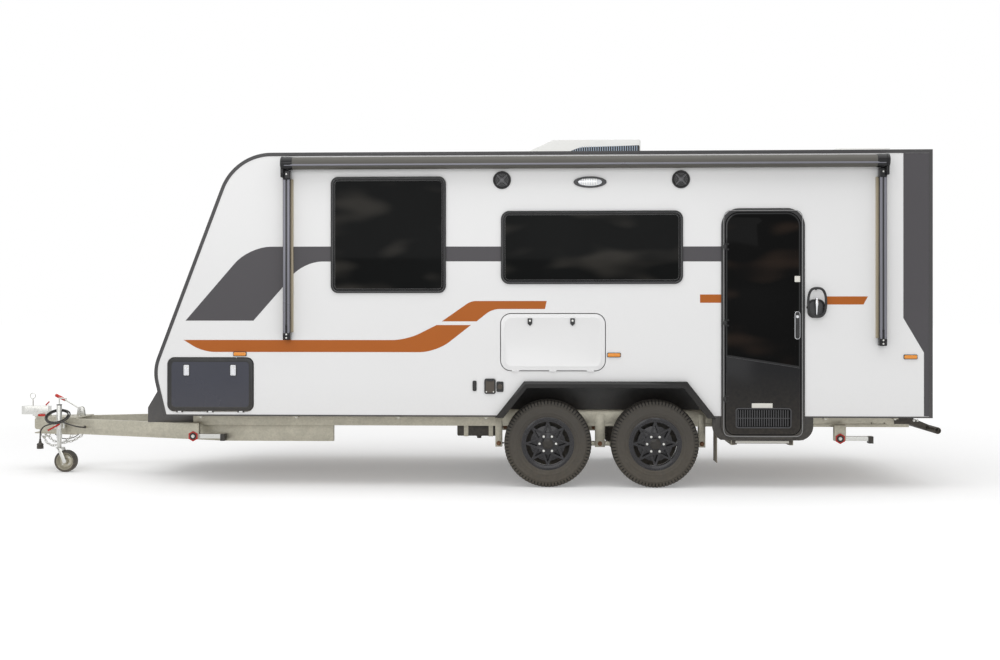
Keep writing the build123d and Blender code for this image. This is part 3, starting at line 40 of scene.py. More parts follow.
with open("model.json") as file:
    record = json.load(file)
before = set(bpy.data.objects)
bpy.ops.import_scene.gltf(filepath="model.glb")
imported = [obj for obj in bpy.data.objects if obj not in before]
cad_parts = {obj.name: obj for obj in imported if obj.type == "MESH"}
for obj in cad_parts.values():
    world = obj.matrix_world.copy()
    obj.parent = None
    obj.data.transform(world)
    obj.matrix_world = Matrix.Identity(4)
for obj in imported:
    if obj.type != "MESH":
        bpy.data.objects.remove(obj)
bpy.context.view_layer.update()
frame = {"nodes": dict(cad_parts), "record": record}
NODES = frame["nodes"]
BODY_OF = {
    node: body
    for body, nodes in frame["record"]["behaviour"]["bodies"].items()
    for node in nodes
}

# Sizes of the frame that the new pieces follow, in metres
WALL_Y = 1.18
SIDES = {"left": -1, "right": 1}
AXLE_XS = {"front": 0.857, "rear": 1.767}
TYRE_Y = 1.0475
TYRE_R = 0.3725
SPRING_Y = 0.800
REAR_X = 4.072
ROOF_Z = 2.850
COOLER_Y = 0.390
COOLER_TOP_Z = 3.061
HATCH_X = 3.729
HATCH_TOP_Z = 2.989
AWNING_Y = -1.250
AWNING_Z = 2.751
SPEAKERS = ((0.469, 2.610), (1.979, 2.610))
AWNING_LAMP = (1.214, 2.590)
JOCKEY_AXLE = (-3.652, 0.1025)
STEADY_XS = (-2.262, 3.375)
STEADY_FACE_Y = 0.8915
STEADY_PIVOT_Z = 0.400
STRAP_Y = 0.7035
TANK_UNDERSIDE = 0.3945
LOCKER_FOOT = (-2.773, 0.628)
LOCKER_HEAD = (-2.483, 1.120)
WHEEL_NUTS = 6
NUT_CIRCLE_R = 0.06985

# Distances below which places count as one, and how squarely a face has to look one way
NEAR = 1e-5
NEARER = 1e-6
SQUARE_ON = 0.99

# Relief of the finest grain, and roughness of a clear coat
GRAIN_HEIGHT = 0.0006
COAT_ROUGHNESS = 0.04

# Windows: side, centre x, centre z, width, height, corner radius
WINDOWS = [
    ("left", -0.499, 2.148, 0.984, 0.990, 0.062),
    ("left", 1.228, 2.038, 1.536, 0.620, 0.070),
    ("right", -0.499, 2.148, 0.984, 0.990, 0.062),
    ("right", 1.000, 2.038, 1.080, 0.560, 0.070),
    ("right", 3.330, 2.180, 0.560, 0.430, 0.070),
]

# Vinyl stripes: name, colour, corners as x, z and the length that rounds each corner
STRIPES = [
    ("stripe_nose", "charcoal", [
        (-2.245, 1.418, 0), (-1.696, 2.050, 0.185), (-0.985, 2.050, 0),
        (-0.985, 1.922, 0), (-1.230, 1.922, 0.16), (-1.418, 1.690, 0), (-1.658, 1.418, 0),
    ]),
    (
        "stripe_between", "charcoal",
        [(-0.012, 2.048, 0), (0.466, 2.047, 0), (0.466, 1.921, 0), (-0.012, 1.922, 0)],
    ),
    (
        "stripe_to_door", "charcoal",
        [(1.990, 2.044, 0), (2.318, 2.044, 0), (2.318, 1.917, 0), (1.990, 1.918, 0)],
    ),
    ("stripe_tail", "charcoal", [
        (3.832, 2.822, 0), (4.048, 2.822, 0), (4.048, 0.618, 0), (4.002, 0.618, 0),
        (4.002, 1.151, 0), (3.832, 1.441, 0),
    ]),
    ("stripe_low", "orange", [
        (-2.262, 1.253, 0), (-0.345, 1.253, 0.12), (-0.087, 1.381, 0), (0.205, 1.381, 0),
        (-0.090, 1.150, 0.14), (-2.095, 1.150, 0.10),
    ]),
    ("stripe_rise", "orange", [
        (-0.043, 1.412, 0), (0.205, 1.585, 0.04), (0.848, 1.585, 0), (0.833, 1.517, 0),
        (0.385, 1.517, 0.06), (0.253, 1.412, 0),
    ]),
    (
        "stripe_at_door", "orange",
        [(2.139, 1.639, 0), (2.316, 1.639, 0), (2.316, 1.569, 0), (2.139, 1.569, 0)],
    ),
    ("stripe_end", "orange", [(3.180, 1.622, 0), (3.539, 1.622, 0), (3.502, 1.554, 0), (3.180, 1.554, 0)]),
]

# Trailer lead's route: out of the gland, the loops round the jockey post, and down to the plug
LEAD_IN = [
    (-3.450, -0.3007, 0.425), (-3.450, -0.346, 0.425), (-3.500, -0.386, 0.437),
    (-3.565, -0.388, 0.455), (-3.625, -0.364, 0.472),
]
LEAD_OUT = [
    (-3.745, -0.388, 0.458), (-3.795, -0.415, 0.440), (-3.818, -0.427, 0.402),
    (-3.821, -0.430, 0.362), (-3.821, -0.430, 0.324),
]
POST_X = -3.718
POST_Y = -0.23983
LOOP_CENTRE = (-3.718, -0.2819, 0.520)
LOOP_R = 0.105
LOOP_TILT = math.radians(32)
LOOP_START = -51
LOOP_SPARE = 29
BUNDLE_R = 0.0098
LOOP_POINTS = 38

# Stripes of the door side alone
DOOR_SIDE_STRIPES = ("stripe_to_door", "stripe_at_door", "stripe_end")

# Side markers, x and z, and the roof's seams, x
MARKERS = [(-1.774, 1.133), (1.416, 1.128), (3.891, 1.115)]
ROOF_SEAMS = (-0.70, 0.30, 2.30, 3.20)

# Stage: the camera's place, turn in degrees, lens, sensor width and shift, the floor, its glow near and far,
# the sky's level, where the lamps point, and each lamp's name, place, size and power
CAMERA_PLACE = (0.877, -11.765, 1.45)
CAMERA_TURN = (90.0, 0.0, 2.3)
LENS = 44.96
SENSOR_WIDTH = 36.0
FRAME_SHIFT = -0.0131
FLOOR_SIZE = 400.0
FLOOR_GLOW = (0.24, 0.50)
GLOW_REACH = (4.5, 14.0)
SKY_LIGHT = 0.66
LAMP_AIM = (0.6, 0.0, 1.2)
LAMPS = [
    ("top_lamp", (0.6, -2.5, 9.5), (15.0, 9.0), 470.0),
    ("front_lamp", (-2.0, -14.0, 5.0), (12.0, 5.0), 235.0),
]


def shade(red, green, blue):
    """A colour as read off a photograph, 0 to 255 a channel, made linear."""
    linear = [((c / 255 + 0.055) / 1.055) ** 2.4 if c > 10 else c / 3294 for c in (red, green, blue)]
    return (*linear, 1.0)


def colour_setting(name, red, green, blue):
    """A colour that a user would change."""
    return bpy.props.FloatVectorProperty(
        name=name,
        description=f"Colour of the {name.lower()}",
        subtype="COLOR",
        size=4,
        min=0.0,
        max=1.0,
        default=shade(red, green, blue),
    )


def size_setting(name, words, metres):
    """A size that a user would change."""
    return bpy.props.FloatProperty(name=name, description=words, default=metres, min=0.0, unit="LENGTH")


class CaravanSizes(bpy.types.PropertyGroup):
    """Sizes of the fittings."""

    edge: size_setting("Edge", "Softness of moulded and cast edges", 0.003)
    plate_edge: size_setting("Plate edge", "Softness of the edges of steel plates", 0.0015)
    vinyl: size_setting("Vinyl", "Thickness of the stripes on the walls", 0.0006)
    tread_depth: size_setting("Tread depth", "Depth of the tyres' tread", 0.008)
    lead: size_setting("Lead", "Diameter of the trailer lead", 0.013)
    tread_blocks: bpy.props.IntProperty(
        name="Tread blocks", description="Blocks round each tyre", default=76, min=12, max=120
    )
    loops: bpy.props.IntProperty(
        name="Loops", description="Loops of the lead round the jockey post", default=3, min=1, max=4
    )


class CaravanColours(bpy.types.PropertyGroup):
    """Colours of the finishes."""

    skin: colour_setting("Wall skin", 238, 238, 238)
    charcoal: colour_setting("Charcoal stripe", 82, 80, 83)
    orange: colour_setting("Orange stripe", 178, 98, 38)
    trim: colour_setting("Edge trim", 66, 65, 66)
    moulding: colour_setting("Black moulding", 30, 30, 31)
    glass: colour_setting("Tinted glass", 16, 17, 17)
    galvanised: colour_setting("Galvanised steel", 196, 192, 176)
    zinc: colour_setting("Zinc plate", 214, 214, 210)
    rubber: colour_setting("Tyre rubber", 66, 62, 56)
    alloy: colour_setting("Painted alloy", 32, 31, 34)
    red: colour_setting("Red plastic", 196, 40, 30)
    amber: colour_setting("Amber lens", 240, 150, 30)
    awning: colour_setting("Rolled awning", 92, 90, 84)
    rail: colour_setting("Awning channel", 178, 166, 142)


# Node groups that the finishes share


def new_group(name, inputs, outputs):
    """An empty shader group with its named inputs and outputs."""
    group = bpy.data.node_groups.new(name, "ShaderNodeTree")
    for kind, label, value in inputs:
        socket = group.interface.new_socket(label, in_out="INPUT", socket_type=f"NodeSocket{kind}")
        if value is not None:
            socket.default_value = value
    for kind, label in outputs:
        group.interface.new_socket(label, in_out="OUTPUT", socket_type=f"NodeSocket{kind}")
    return group, group.nodes.new("NodeGroupInput"), group.nodes.new("NodeGroupOutput")


def node(tree, kind, settings=None, **values):
    """A new node with its settings, and its inputs by name or place."""
    made = tree.nodes.new(f"ShaderNode{kind}")
    for key, value in (settings or {}).items():
        setattr(made, key, value)
    for key, value in values.items():
        made.inputs[key.replace("_", " ")].default_value = value
    return made


def sums(tree, operation, first, second, clamp=False):
    """A Math node on two sockets or numbers. Gives its output socket."""
    made = node(tree, "Math", {"operation": operation, "use_clamp": clamp})
    for place, value in enumerate((first, second)):
        if isinstance(value, bpy.types.NodeSocket):
            tree.links.new(value, made.inputs[place])
        else:
            made.inputs[place].default_value = value
    return made.outputs[0]


def noise(tree, position, scale, detail=3.0):
    """A Noise texture at that position. Gives its factor."""
    made = node(tree, "TexNoise", None, Detail=detail)
    tree.links.new(position, made.inputs["Vector"])
    if isinstance(scale, bpy.types.NodeSocket):
        tree.links.new(scale, made.inputs["Scale"])
    else:
        made.inputs["Scale"].default_value = scale
    return made.outputs["Fac"]


def mix(tree, factor, first, second):
    """A colour Mix. Gives its result."""
    made = node(tree, "Mix", {"data_type": "RGBA"})
    for place, value in ((0, factor), (6, first), (7, second)):
        if isinstance(value, bpy.types.NodeSocket):
            tree.links.new(value, made.inputs[place])
        else:
            made.inputs[place].default_value = value
    return made.outputs[2]


def node_of(tree, kind):
    """The first node of a kind in a finish."""
    return next(found for found in tree.nodes if found.type == kind)


def used_surface():
    """Uneven colour and gloss, road dust that fades with height, and a fine grain."""
    found = bpy.data.node_groups.get("Used surface")
    if found:
        return found
    group, inner, outer = new_group(
        "Used surface",
        [
            ("Vector", "Position", None),
            ("Color", "Colour", (0.8, 0.8, 0.8, 1)),
            ("Float", "Patch scale", 4.0),
            ("Float", "Patch amount", 0.05),
            ("Color", "Dust colour", shade(150, 138, 118)),
            ("Float", "Dust amount", 0.2),
            ("Float", "Dust height", 1.0),
            ("Float", "Grain scale", 400.0),
            ("Float", "Roughness low", 0.3),
            ("Float", "Roughness high", 0.4),
        ],
        [("Color", "Colour"), ("Float", "Roughness"), ("Float", "Height")],
    )
    patch = noise(group, inner.outputs["Position"], inner.outputs["Patch scale"])
    grain = noise(group, inner.outputs["Position"], inner.outputs["Grain scale"], 2.0)
    swing = sums(group, "MULTIPLY", sums(group, "SUBTRACT", patch, 0.5), 2.0)
    level = sums(group, "ADD", 1.0, sums(group, "MULTIPLY", swing, inner.outputs["Patch amount"]))
    scaled = node(group, "VectorMath", {"operation": "SCALE"})
    group.links.new(inner.outputs["Colour"], scaled.inputs[0])
    group.links.new(level, scaled.inputs["Scale"])
    split = node(group, "SeparateXYZ")
    group.links.new(inner.outputs["Position"], split.inputs[0])
    height = sums(group, "DIVIDE", split.outputs["Z"], inner.outputs["Dust height"])
    drop = sums(group, "SUBTRACT", 1.0, height, True)
    speckle = noise(group, inner.outputs["Position"], 38.0, 4.0)
    dusty = sums(group, "MULTIPLY", drop, speckle)
    share = sums(group, "MULTIPLY", dusty, inner.outputs["Dust amount"], True)
    coloured = mix(group, share, scaled.outputs[0], inner.outputs["Dust colour"])
    group.links.new(coloured, outer.inputs["Colour"])
    gloss = node(group, "MapRange")
    group.links.new(sums(group, "ADD", patch, share, True), gloss.inputs["Value"])
    gloss.inputs["From Min"].default_value = 0.3
    gloss.inputs["From Max"].default_value = 0.8
    group.links.new(inner.outputs["Roughness low"], gloss.inputs["To Min"])
    group.links.new(inner.outputs["Roughness high"], gloss.inputs["To Max"])
    group.links.new(gloss.outputs[0], outer.inputs["Roughness"])
    group.links.new(grain, outer.inputs["Height"])
    return group


def spangle():
    """The frosted crystals of hot-dip zinc, with darker runs."""
    found = bpy.data.node_groups.get("Zinc spangle")
    if found:
        return found
    group, inner, outer = new_group(
        "Zinc spangle",
        [
            ("Vector", "Position", None),
            ("Color", "Colour", (0.6, 0.6, 0.6, 1)),
            ("Float", "Crystal scale", 70.0),
        ],
        [("Color", "Colour"), ("Float", "Shine")],
    )
    cells = node(group, "TexVoronoi", {"feature": "F1"}, Randomness=1.0)
    group.links.new(inner.outputs["Position"], cells.inputs["Vector"])
    group.links.new(inner.outputs["Crystal scale"], cells.inputs["Scale"])
    tone = node(group, "SeparateColor")
    group.links.new(cells.outputs["Color"], tone.inputs[0])
    runs = noise(group, inner.outputs["Position"], 7.0, 4.0)
    level = sums(group, "ADD", 0.84, sums(group, "MULTIPLY", tone.outputs[0], 0.14))
    level = sums(group, "MULTIPLY", level, sums(group, "ADD", 0.78, sums(group, "MULTIPLY", runs, 0.42)))
    scaled = node(group, "VectorMath", {"operation": "SCALE"})
    group.links.new(inner.outputs["Colour"], scaled.inputs[0])
    group.links.new(level, scaled.inputs["Scale"])
    group.links.new(scaled.outputs[0], outer.inputs["Colour"])
    group.links.new(tone.outputs[1], outer.inputs["Shine"])
    return group


# Finishes


def finish(
    name, colour, gloss, metal=0.0, patch=(4.0, 0.05), dust=(0.0, 1.0), grain=(400.0, 0.1), clear=0.0,
    sheen=0.5,
):
    """A finish: its colour, the range of its roughness, its patches, its dust, its grain and its sheen."""
    made = bpy.data.materials.get(name)
    if made:
        return made
    made = bpy.data.materials.new(name)
    made.use_nodes = True
    tree = made.node_tree
    shader = tree.nodes["Principled BSDF"]
    place = node(tree, "TexCoord")
    group = node(tree, "Group", {"node_tree": used_surface()})
    tree.links.new(place.outputs["Object"], group.inputs["Position"])
    values = {
        "Colour": tuple(colour),
        "Patch scale": patch[0],
        "Patch amount": patch[1],
        "Dust amount": dust[0],
        "Dust height": dust[1],
        "Grain scale": grain[0],
        "Roughness low": gloss[0],
        "Roughness high": gloss[1],
    }
    for label, value in values.items():
        group.inputs[label].default_value = value
    bump = node(tree, "Bump", None, Strength=grain[1], Distance=GRAIN_HEIGHT)
    tree.links.new(group.outputs["Height"], bump.inputs["Height"])
    tree.links.new(group.outputs["Colour"], shader.inputs["Base Color"])
    tree.links.new(group.outputs["Roughness"], shader.inputs["Roughness"])
    tree.links.new(bump.outputs[0], shader.inputs["Normal"])
    shader.inputs["Metallic"].default_value = metal
    shader.inputs["Specular IOR Level"].default_value = sheen
    shader.inputs["Coat Weight"].default_value = clear
    shader.inputs["Coat Roughness"].default_value = COAT_ROUGHNESS
    made.diffuse_color = tuple(colour)
    return made


def colours():
    return bpy.context.scene.caravan_colours


def sizes():
    return bpy.context.scene.caravan_sizes


def wall_skin():
    return finish(
        "Wall skin", colours().skin, (0.16, 0.24), patch=(0.8, 0.012), dust=(0.22, 0.9), grain=(28.0, 0.03),
    )


def charcoal_vinyl():
    return finish(
        "Charcoal vinyl", colours().charcoal, (0.30, 0.38), patch=(3.0, 0.03), grain=(60.0, 0.03), sheen=0.25,
    )


def orange_vinyl():
    return finish(
        "Orange vinyl", colours().orange, (0.28, 0.36), patch=(3.0, 0.03), grain=(60.0, 0.03), sheen=0.2,
    )


def trim_paint():
    return finish(
        "Edge trim paint", colours().trim, (0.32, 0.44), patch=(9.0, 0.08), dust=(0.3, 0.9),
        grain=(500.0, 0.12),
    )


def black_moulding():
    return finish(
        "Black moulding", colours().moulding, (0.32, 0.5), patch=(12.0, 0.12), dust=(0.35, 0.9),
        grain=(900.0, 0.3),
    )


def gloss_black():
    return finish(
        "Gloss black", shade(20, 20, 22), (0.06, 0.16), patch=(3.0, 0.1), dust=(0.25, 1.0),
        grain=(20.0, 0.03), clear=0.1, sheen=0.3,
    )


def painted_alloy():
    return finish(
        "Painted alloy", colours().alloy, (0.22, 0.34), metal=0.35, patch=(30.0, 0.15), grain=(700.0, 0.08),
        clear=0.25,
    )


def chrome():
    return finish(
        "Chrome", shade(222, 223, 226), (0.06, 0.14), metal=1.0, patch=(40.0, 0.05), grain=(90.0, 0.04),
    )


def zinc_plate():
    return finish(
        "Zinc plate", colours().zinc, (0.26, 0.44), metal=0.75, patch=(30.0, 0.10), grain=(500.0, 0.15),
    )


def red_plastic():
    return finish("Red plastic", colours().red, (0.34, 0.46), patch=(60.0, 0.10), grain=(900.0, 0.2))


def black_steel():
    return finish(
        "Black steel", shade(34, 33, 33), (0.34, 0.5), metal=0.2, patch=(16.0, 0.2), dust=(0.7, 0.9),
        grain=(400.0, 0.3),
    )


def tank_plastic():
    return finish(
        "Tank plastic", shade(30, 31, 32), (0.45, 0.6), patch=(6.0, 0.15), dust=(0.6, 0.8),
        grain=(250.0, 0.35),
    )


def locker_skin():
    return finish(
        "Locker skin", shade(74, 74, 76), (0.32, 0.44), metal=0.1, patch=(6.0, 0.06), dust=(0.4, 0.9),
        grain=(600.0, 0.2),
    )


def white_shroud():
    return finish("White shroud", shade(224, 224, 221), (0.3, 0.42), patch=(5.0, 0.02), grain=(600.0, 0.2))


def amber_lens():
    return finish("Amber lens", colours().amber, (0.1, 0.2), patch=(90.0, 0.1), grain=(240.0, 0.4), clear=0.6)


def red_lens():
    return finish(
        "Red lens", shade(150, 18, 18), (0.1, 0.2), patch=(90.0, 0.1), grain=(240.0, 0.4), clear=0.6,
    )


def floor_board():
    return finish(
        "Floor board", shade(122, 98, 72), (0.5, 0.7), patch=(9.0, 0.2), dust=(0.5, 0.9), grain=(160.0, 0.4),
    )


def galvanised():
    """Hot-dip zinc on the chassis."""
    made = bpy.data.materials.get("Galvanised steel")
    if made:
        return made
    made = finish(
        "Galvanised steel", colours().galvanised, (0.34, 0.52), metal=0.55, patch=(11.0, 0.10),
        dust=(0.35, 0.8), grain=(260.0, 0.3),
    )
    tree = made.node_tree
    place = node_of(tree, "TEX_COORD")
    surface = node_of(tree, "GROUP")
    crystals = node(tree, "Group", {"node_tree": spangle()})
    crystals.inputs["Colour"].default_value = tuple(colours().galvanised)
    tree.links.new(place.outputs["Object"], crystals.inputs["Position"])
    tree.links.new(crystals.outputs["Colour"], surface.inputs["Colour"])
    return made


def painted_reflection(made, dark, pale):
    """Painted reflection: soft pale shapes in a dark pane, as of a hall that it mirrors."""
    tree = made.node_tree
    place = node_of(tree, "TEX_COORD")
    surface = node_of(tree, "GROUP")
    squeezed = node(tree, "VectorMath", {"operation": "MULTIPLY"})
    squeezed.inputs[1].default_value = (1.0, 1.0, 2.6)
    tree.links.new(place.outputs["Object"], squeezed.inputs[0])
    reflection_cloud = noise(tree, squeezed.outputs[0], 1.7, 1.0)
    spread = node(tree, "MapRange", {"interpolation_type": "SMOOTHSTEP"}, From_Min=0.50, From_Max=0.72)
    tree.links.new(reflection_cloud, spread.inputs["Value"])
    tree.links.new(mix(tree, spread.outputs[0], dark, pale), surface.inputs["Colour"])
    return made


def tinted_glass():
    """Dark acrylic that hides the cabin, with a painted reflection."""
    made = bpy.data.materials.get("Tinted glass")
    if made:
        return made
    made = finish(
        "Tinted glass", colours().glass, (0.02, 0.05), patch=(2.2, 0.3), grain=(3.0, 0.02), sheen=0.05,
    )
    return painted_reflection(made, tuple(colours().glass), shade(50, 48, 45))


def tyre_rubber():
    return finish(
        "Tyre rubber", colours().rubber, (0.62, 0.8), patch=(18.0, 0.16), dust=(0.25, 0.5),
        grain=(500.0, 0.4),
    )


def awning_cloth():
    """The rolled awning's vinyl, with the faint lines of its layers."""
    made = bpy.data.materials.get("Awning cloth")
    if made:
        return made
    made = finish("Awning cloth", colours().awning, (0.5, 0.62), patch=(3.0, 0.06), grain=(300.0, 0.2))
    tree = made.node_tree
    place = node_of(tree, "TEX_COORD")
    surface = node_of(tree, "GROUP")
    split = node(tree, "SeparateXYZ")
    tree.links.new(place.outputs["Object"], split.inputs[0])
    lines = sums(tree, "SINE", sums(tree, "MULTIPLY", split.outputs["Z"], 700.0), 0.0)
    tone = mix(tree, sums(tree, "MULTIPLY_ADD", lines, 0.5), tuple(colours().awning), shade(78, 76, 71))
    tree.links.new(tone, surface.inputs["Colour"])
    return made


def lead_jacket():
    return finish(
        "Lead jacket", shade(34, 34, 35), (0.4, 0.52), patch=(60.0, 0.1), dust=(0.3, 0.8),
        grain=(800.0, 0.15),
    )


def frame_bevel():
    return finish("Frame bevel", shade(66, 66, 68), (0.3, 0.42), patch=(12.0, 0.1), grain=(700.0, 0.15))


# Pale grey for thin lines on the black window frames and door frame: a painted highlight.
def highlight_line():
    return finish("Painted highlight line", shade(150, 150, 150), (0.3, 0.4), patch=(20.0, 0.08), grain=(600.0, 0.1))


def pane_border():
    return finish(
        "Pane border", shade(24, 24, 25), (0.1, 0.2), patch=(3.0, 0.1), grain=(20.0, 0.02), sheen=0.2,
    )


def kick_panel():
    return finish(
        "Kick panel", shade(24, 24, 26), (0.18, 0.28), patch=(2.0, 0.1), dust=(0.3, 1.0), grain=(300.0, 0.06),
        sheen=0.2,
    )


def blank_label():
    return finish(
        "Blank label", shade(226, 224, 216), (0.35, 0.5), patch=(20.0, 0.06), dust=(0.5, 0.9),
        grain=(400.0, 0.1),
    )


def door_glass():
    """Gloss black acrylic of the door's upper part, with a painted reflection."""
    made = bpy.data.materials.get("Door glass")
    if made:
        return made
    made = finish(
        "Door glass", shade(14, 14, 14), (0.03, 0.07), patch=(2.0, 0.3), grain=(4.0, 0.02), sheen=0.05,
    )
    return painted_reflection(made, shade(12, 12, 12), shade(40, 32, 27))


def boot_skin():
    return finish(
        "Boot lid skin", shade(52, 54, 66), (0.22, 0.34), patch=(3.0, 0.08), dust=(0.25, 0.9),
        grain=(500.0, 0.1),
    )


def speaker_grille():
    return finish(
        "Speaker grille", shade(96, 96, 98), (0.3, 0.42), metal=0.3, patch=(30.0, 0.1), grain=(900.0, 0.3),
    )


def clear_lens():
    return finish(
        "Clear lens", shade(214, 216, 220), (0.05, 0.12), metal=0.6, patch=(50.0, 0.15), grain=(160.0, 0.5),
        clear=0.6,
    )


def inlet_lid():
    return finish(
        "Inlet lid", shade(70, 62, 54), (0.35, 0.5), patch=(40.0, 0.12), dust=(0.3, 1.0), grain=(600.0, 0.25),
    )


# Grey of the roll's hem and front rail; on the arms' ridges it is a painted highlight.
def awning_grey_and_highlight():
    return finish(
        "Awning grey and arm highlight", shade(122, 122, 130), (0.26, 0.38), metal=0.4, patch=(3.0, 0.06), dust=(0.12, 1.4),
        grain=(500.0, 0.12),
    )


def channel_paint():
    return finish(
        "Awning channel", colours().rail, (0.4, 0.5), patch=(4.0, 0.05), dust=(0.1, 1.2), grain=(500.0, 0.1),
    )


def fin_paint():
    return finish(
        "Cooler fins", shade(150, 164, 180), (0.35, 0.5), metal=0.6, patch=(8.0, 0.1), grain=(900.0, 0.2),
    )


# Darker rubber for the tread's base between the blocks: painted shade in the grooves.
def groove_shade_rubber():
    return finish(
        "Painted groove shade", shade(27, 26, 24), (0.7, 0.85), patch=(18.0, 0.16), dust=(0.1, 0.5),
        grain=(500.0, 0.4),
    )


def rusty_bolt():
    return finish(
        "Rusty bolt", shade(132, 96, 70), (0.5, 0.7), metal=0.5, patch=(60.0, 0.3), dust=(0.2, 0.8),
        grain=(900.0, 0.5),
    )


def wheel_rubber():
    return finish(
        "Jockey tyre", shade(44, 43, 42), (0.5, 0.66), patch=(30.0, 0.15), dust=(0.6, 0.3),
        grain=(700.0, 0.25),
    )


def flap_rubber():
    return finish(
        "Flap rubber", shade(132, 126, 114), (0.5, 0.65), patch=(8.0, 0.12), dust=(0.5, 0.7),
        grain=(500.0, 0.2),
    )


# Modelling by hand


def deselect():
    bpy.ops.object.select_all(action="DESELECT")


def pick(*pieces):
    """Selects these pieces alone. The first is active."""
    deselect()
    for piece in pieces:
        piece.select_set(True)
    bpy.context.view_layer.objects.active = pieces[0]


def open_up(piece, kind="FACE", action="DESELECT"):
    """Edit mode on one piece."""
    pick(piece)
    bpy.ops.object.mode_set(mode="EDIT")
    bpy.ops.mesh.select_mode(type=kind)
    bpy.ops.mesh.select_all(action=action)


def close_up():
    bpy.ops.object.mode_set(mode="OBJECT")


def apply_place(piece):
    pick(piece)
    bpy.ops.object.transform_apply(location=True, rotation=True, scale=True)


def put_right(piece, merge=0.00002):
    """Merges doubles and turns the faces outwards."""
    open_up(piece, "VERT", "SELECT")
    bpy.ops.mesh.remove_doubles(threshold=merge)
    bpy.ops.mesh.normals_make_consistent(inside=False)
    close_up()


def joined(pieces):
    """The pieces made one."""
    if len(pieces) > 1:
        pick(*pieces)
        bpy.ops.object.join()
    return pieces[0]


def copied(piece, move):
    """A copy with its own mesh, moved."""
    twin = piece.copy()
    twin.data = piece.data.copy()
    bpy.context.collection.objects.link(twin)
    twin.data.transform(move)
    if move.determinant() < 0:
        twin.data.flip_normals()
    return twin


def placed(piece, name, body, *finishes, smooth=32.0, slot=None, replaces=()):
    """Names a finished piece, gives it its finishes and sets it on its body."""
    piece.name = name
    piece.data.name = name
    if not piece.data.materials:
        for coat in finishes:
            piece.data.materials.append(coat)
    pick(piece)
    bpy.ops.object.shade_smooth_by_angle(angle=math.radians(smooth))
    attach(piece, body)
    if replaces:
        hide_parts(*replaces)
    return piece


def coated(piece, *finishes):
    """Gives a loose piece its finishes before it is joined to others."""
    for coat in finishes:
        piece.data.materials.append(coat)
    return piece


def recoated(piece, test, coat):
    """Gives another finish to the faces that pass the test."""
    piece.data.materials.append(coat)
    last = len(piece.data.materials) - 1
    for side in piece.data.polygons:
        if test(side.center):
            side.material_index = last
    return piece


def about(centre, move):
    """A turn or a scale about a point."""
    centre = Vector(centre)
    return Matrix.Translation(centre) @ move @ Matrix.Translation(-centre)


def block(low, high, soft=0.0, steps=2):
    """A box between two corners, its edges softened."""
    middle = [(a + b) / 2 for a, b in zip(low, high)]
    deselect()
    bpy.ops.mesh.primitive_cube_add(size=1, location=middle)
    piece = bpy.context.object
    piece.scale = [abs(b - a) for a, b in zip(low, high)]
    apply_place(piece)
    if soft:
        open_up(piece, "EDGE", "SELECT")
        bpy.ops.mesh.bevel(offset=soft, segments=steps, affect="EDGES")
        close_up()
    return piece


def first_ring(centre, axis, radius, steps, fill):
    """The circle that a turned piece starts from."""
    deselect()
    bpy.ops.mesh.primitive_circle_add(
        vertices=steps,
        radius=radius,
        fill_type=fill,
        location=centre,
        rotation=axis.to_track_quat("Z", "Y").to_euler(),
    )
    piece = bpy.context.object
    apply_place(piece)
    return piece


def turned(centre, axis, profile, steps=32):
    """A turned piece: its profile is the distance along the axis and the radius of each ring."""
    centre, axis = Vector(centre), Vector(axis).normalized()
    start, radius = profile[0]
    piece = first_ring(centre + axis * start, axis, radius, steps, "NGON")
    open_up(piece, "FACE", "SELECT")
    for (along, before), (further, radius) in zip(profile, profile[1:]):
        bpy.ops.mesh.extrude_region_move(TRANSFORM_OT_translate={"value": axis * (further - along)})
        ratio = radius / before
        if abs(ratio - 1) > NEARER:
            bpy.ops.transform.resize(value=(ratio,) * 3, center_override=centre + axis * further)
    bpy.ops.mesh.select_all(action="SELECT")
    bpy.ops.mesh.normals_make_consistent(inside=False)
    close_up()
    return piece


def hoop(centre, axis, profile, steps=96):
    """A turned ring: its closed profile is the distance along the axis and the radius of each corner."""
    centre, axis = Vector(centre), Vector(axis).normalized()
    start, radius = profile[0]
    piece = first_ring(centre + axis * start, axis, radius, steps, "NOTHING")
    open_up(piece, "EDGE", "SELECT")
    ring = list(profile) + [profile[0]]
    for (along, before), (further, radius) in zip(ring, ring[1:]):
        bpy.ops.mesh.extrude_edges_move(TRANSFORM_OT_translate={"value": axis * (further - along)})
        bpy.ops.transform.resize(value=(radius / before,) * 3, center_override=centre + axis * further)
    close_up()
    put_right(piece)
    return piece


def sheet(corners, face, thick, soft=0.0):
    """A flat piece cut to its corners and given its thickness.

    corners are places across and up, and the length that rounds each. face turns them into points.
    """
    deselect()
    bpy.ops.mesh.primitive_circle_add(vertices=len(corners), radius=1.0, fill_type="NGON")
    piece = bpy.context.object
    for vertex, (across, up, _) in zip(piece.data.vertices, corners):
        vertex.co = face(across, up)
    apply_place(piece)
    open_up(piece, "VERT")
    for across, up, round_by in corners:
        if round_by:
            mesh = bmesh.from_edit_mesh(piece.data)
            spot = Vector(face(across, up))
            for vertex in mesh.verts:
                vertex.select = (vertex.co - spot).length < NEAR
            mesh.select_flush(True)
            bmesh.update_edit_mesh(piece.data)
            bpy.ops.mesh.bevel(offset=round_by, segments=8, affect="VERTICES")
            bpy.ops.mesh.select_all(action="DESELECT")
    bpy.ops.mesh.select_mode(type="FACE")
    bpy.ops.mesh.select_all(action="SELECT")
    bpy.ops.mesh.extrude_region_move(TRANSFORM_OT_translate={"value": thick})
    if soft:
        bpy.ops.mesh.region_to_loop()
        bpy.ops.mesh.bevel(offset=soft, segments=2, affect="EDGES")
    close_up()
    put_right(piece, 0.000002)
    return piece


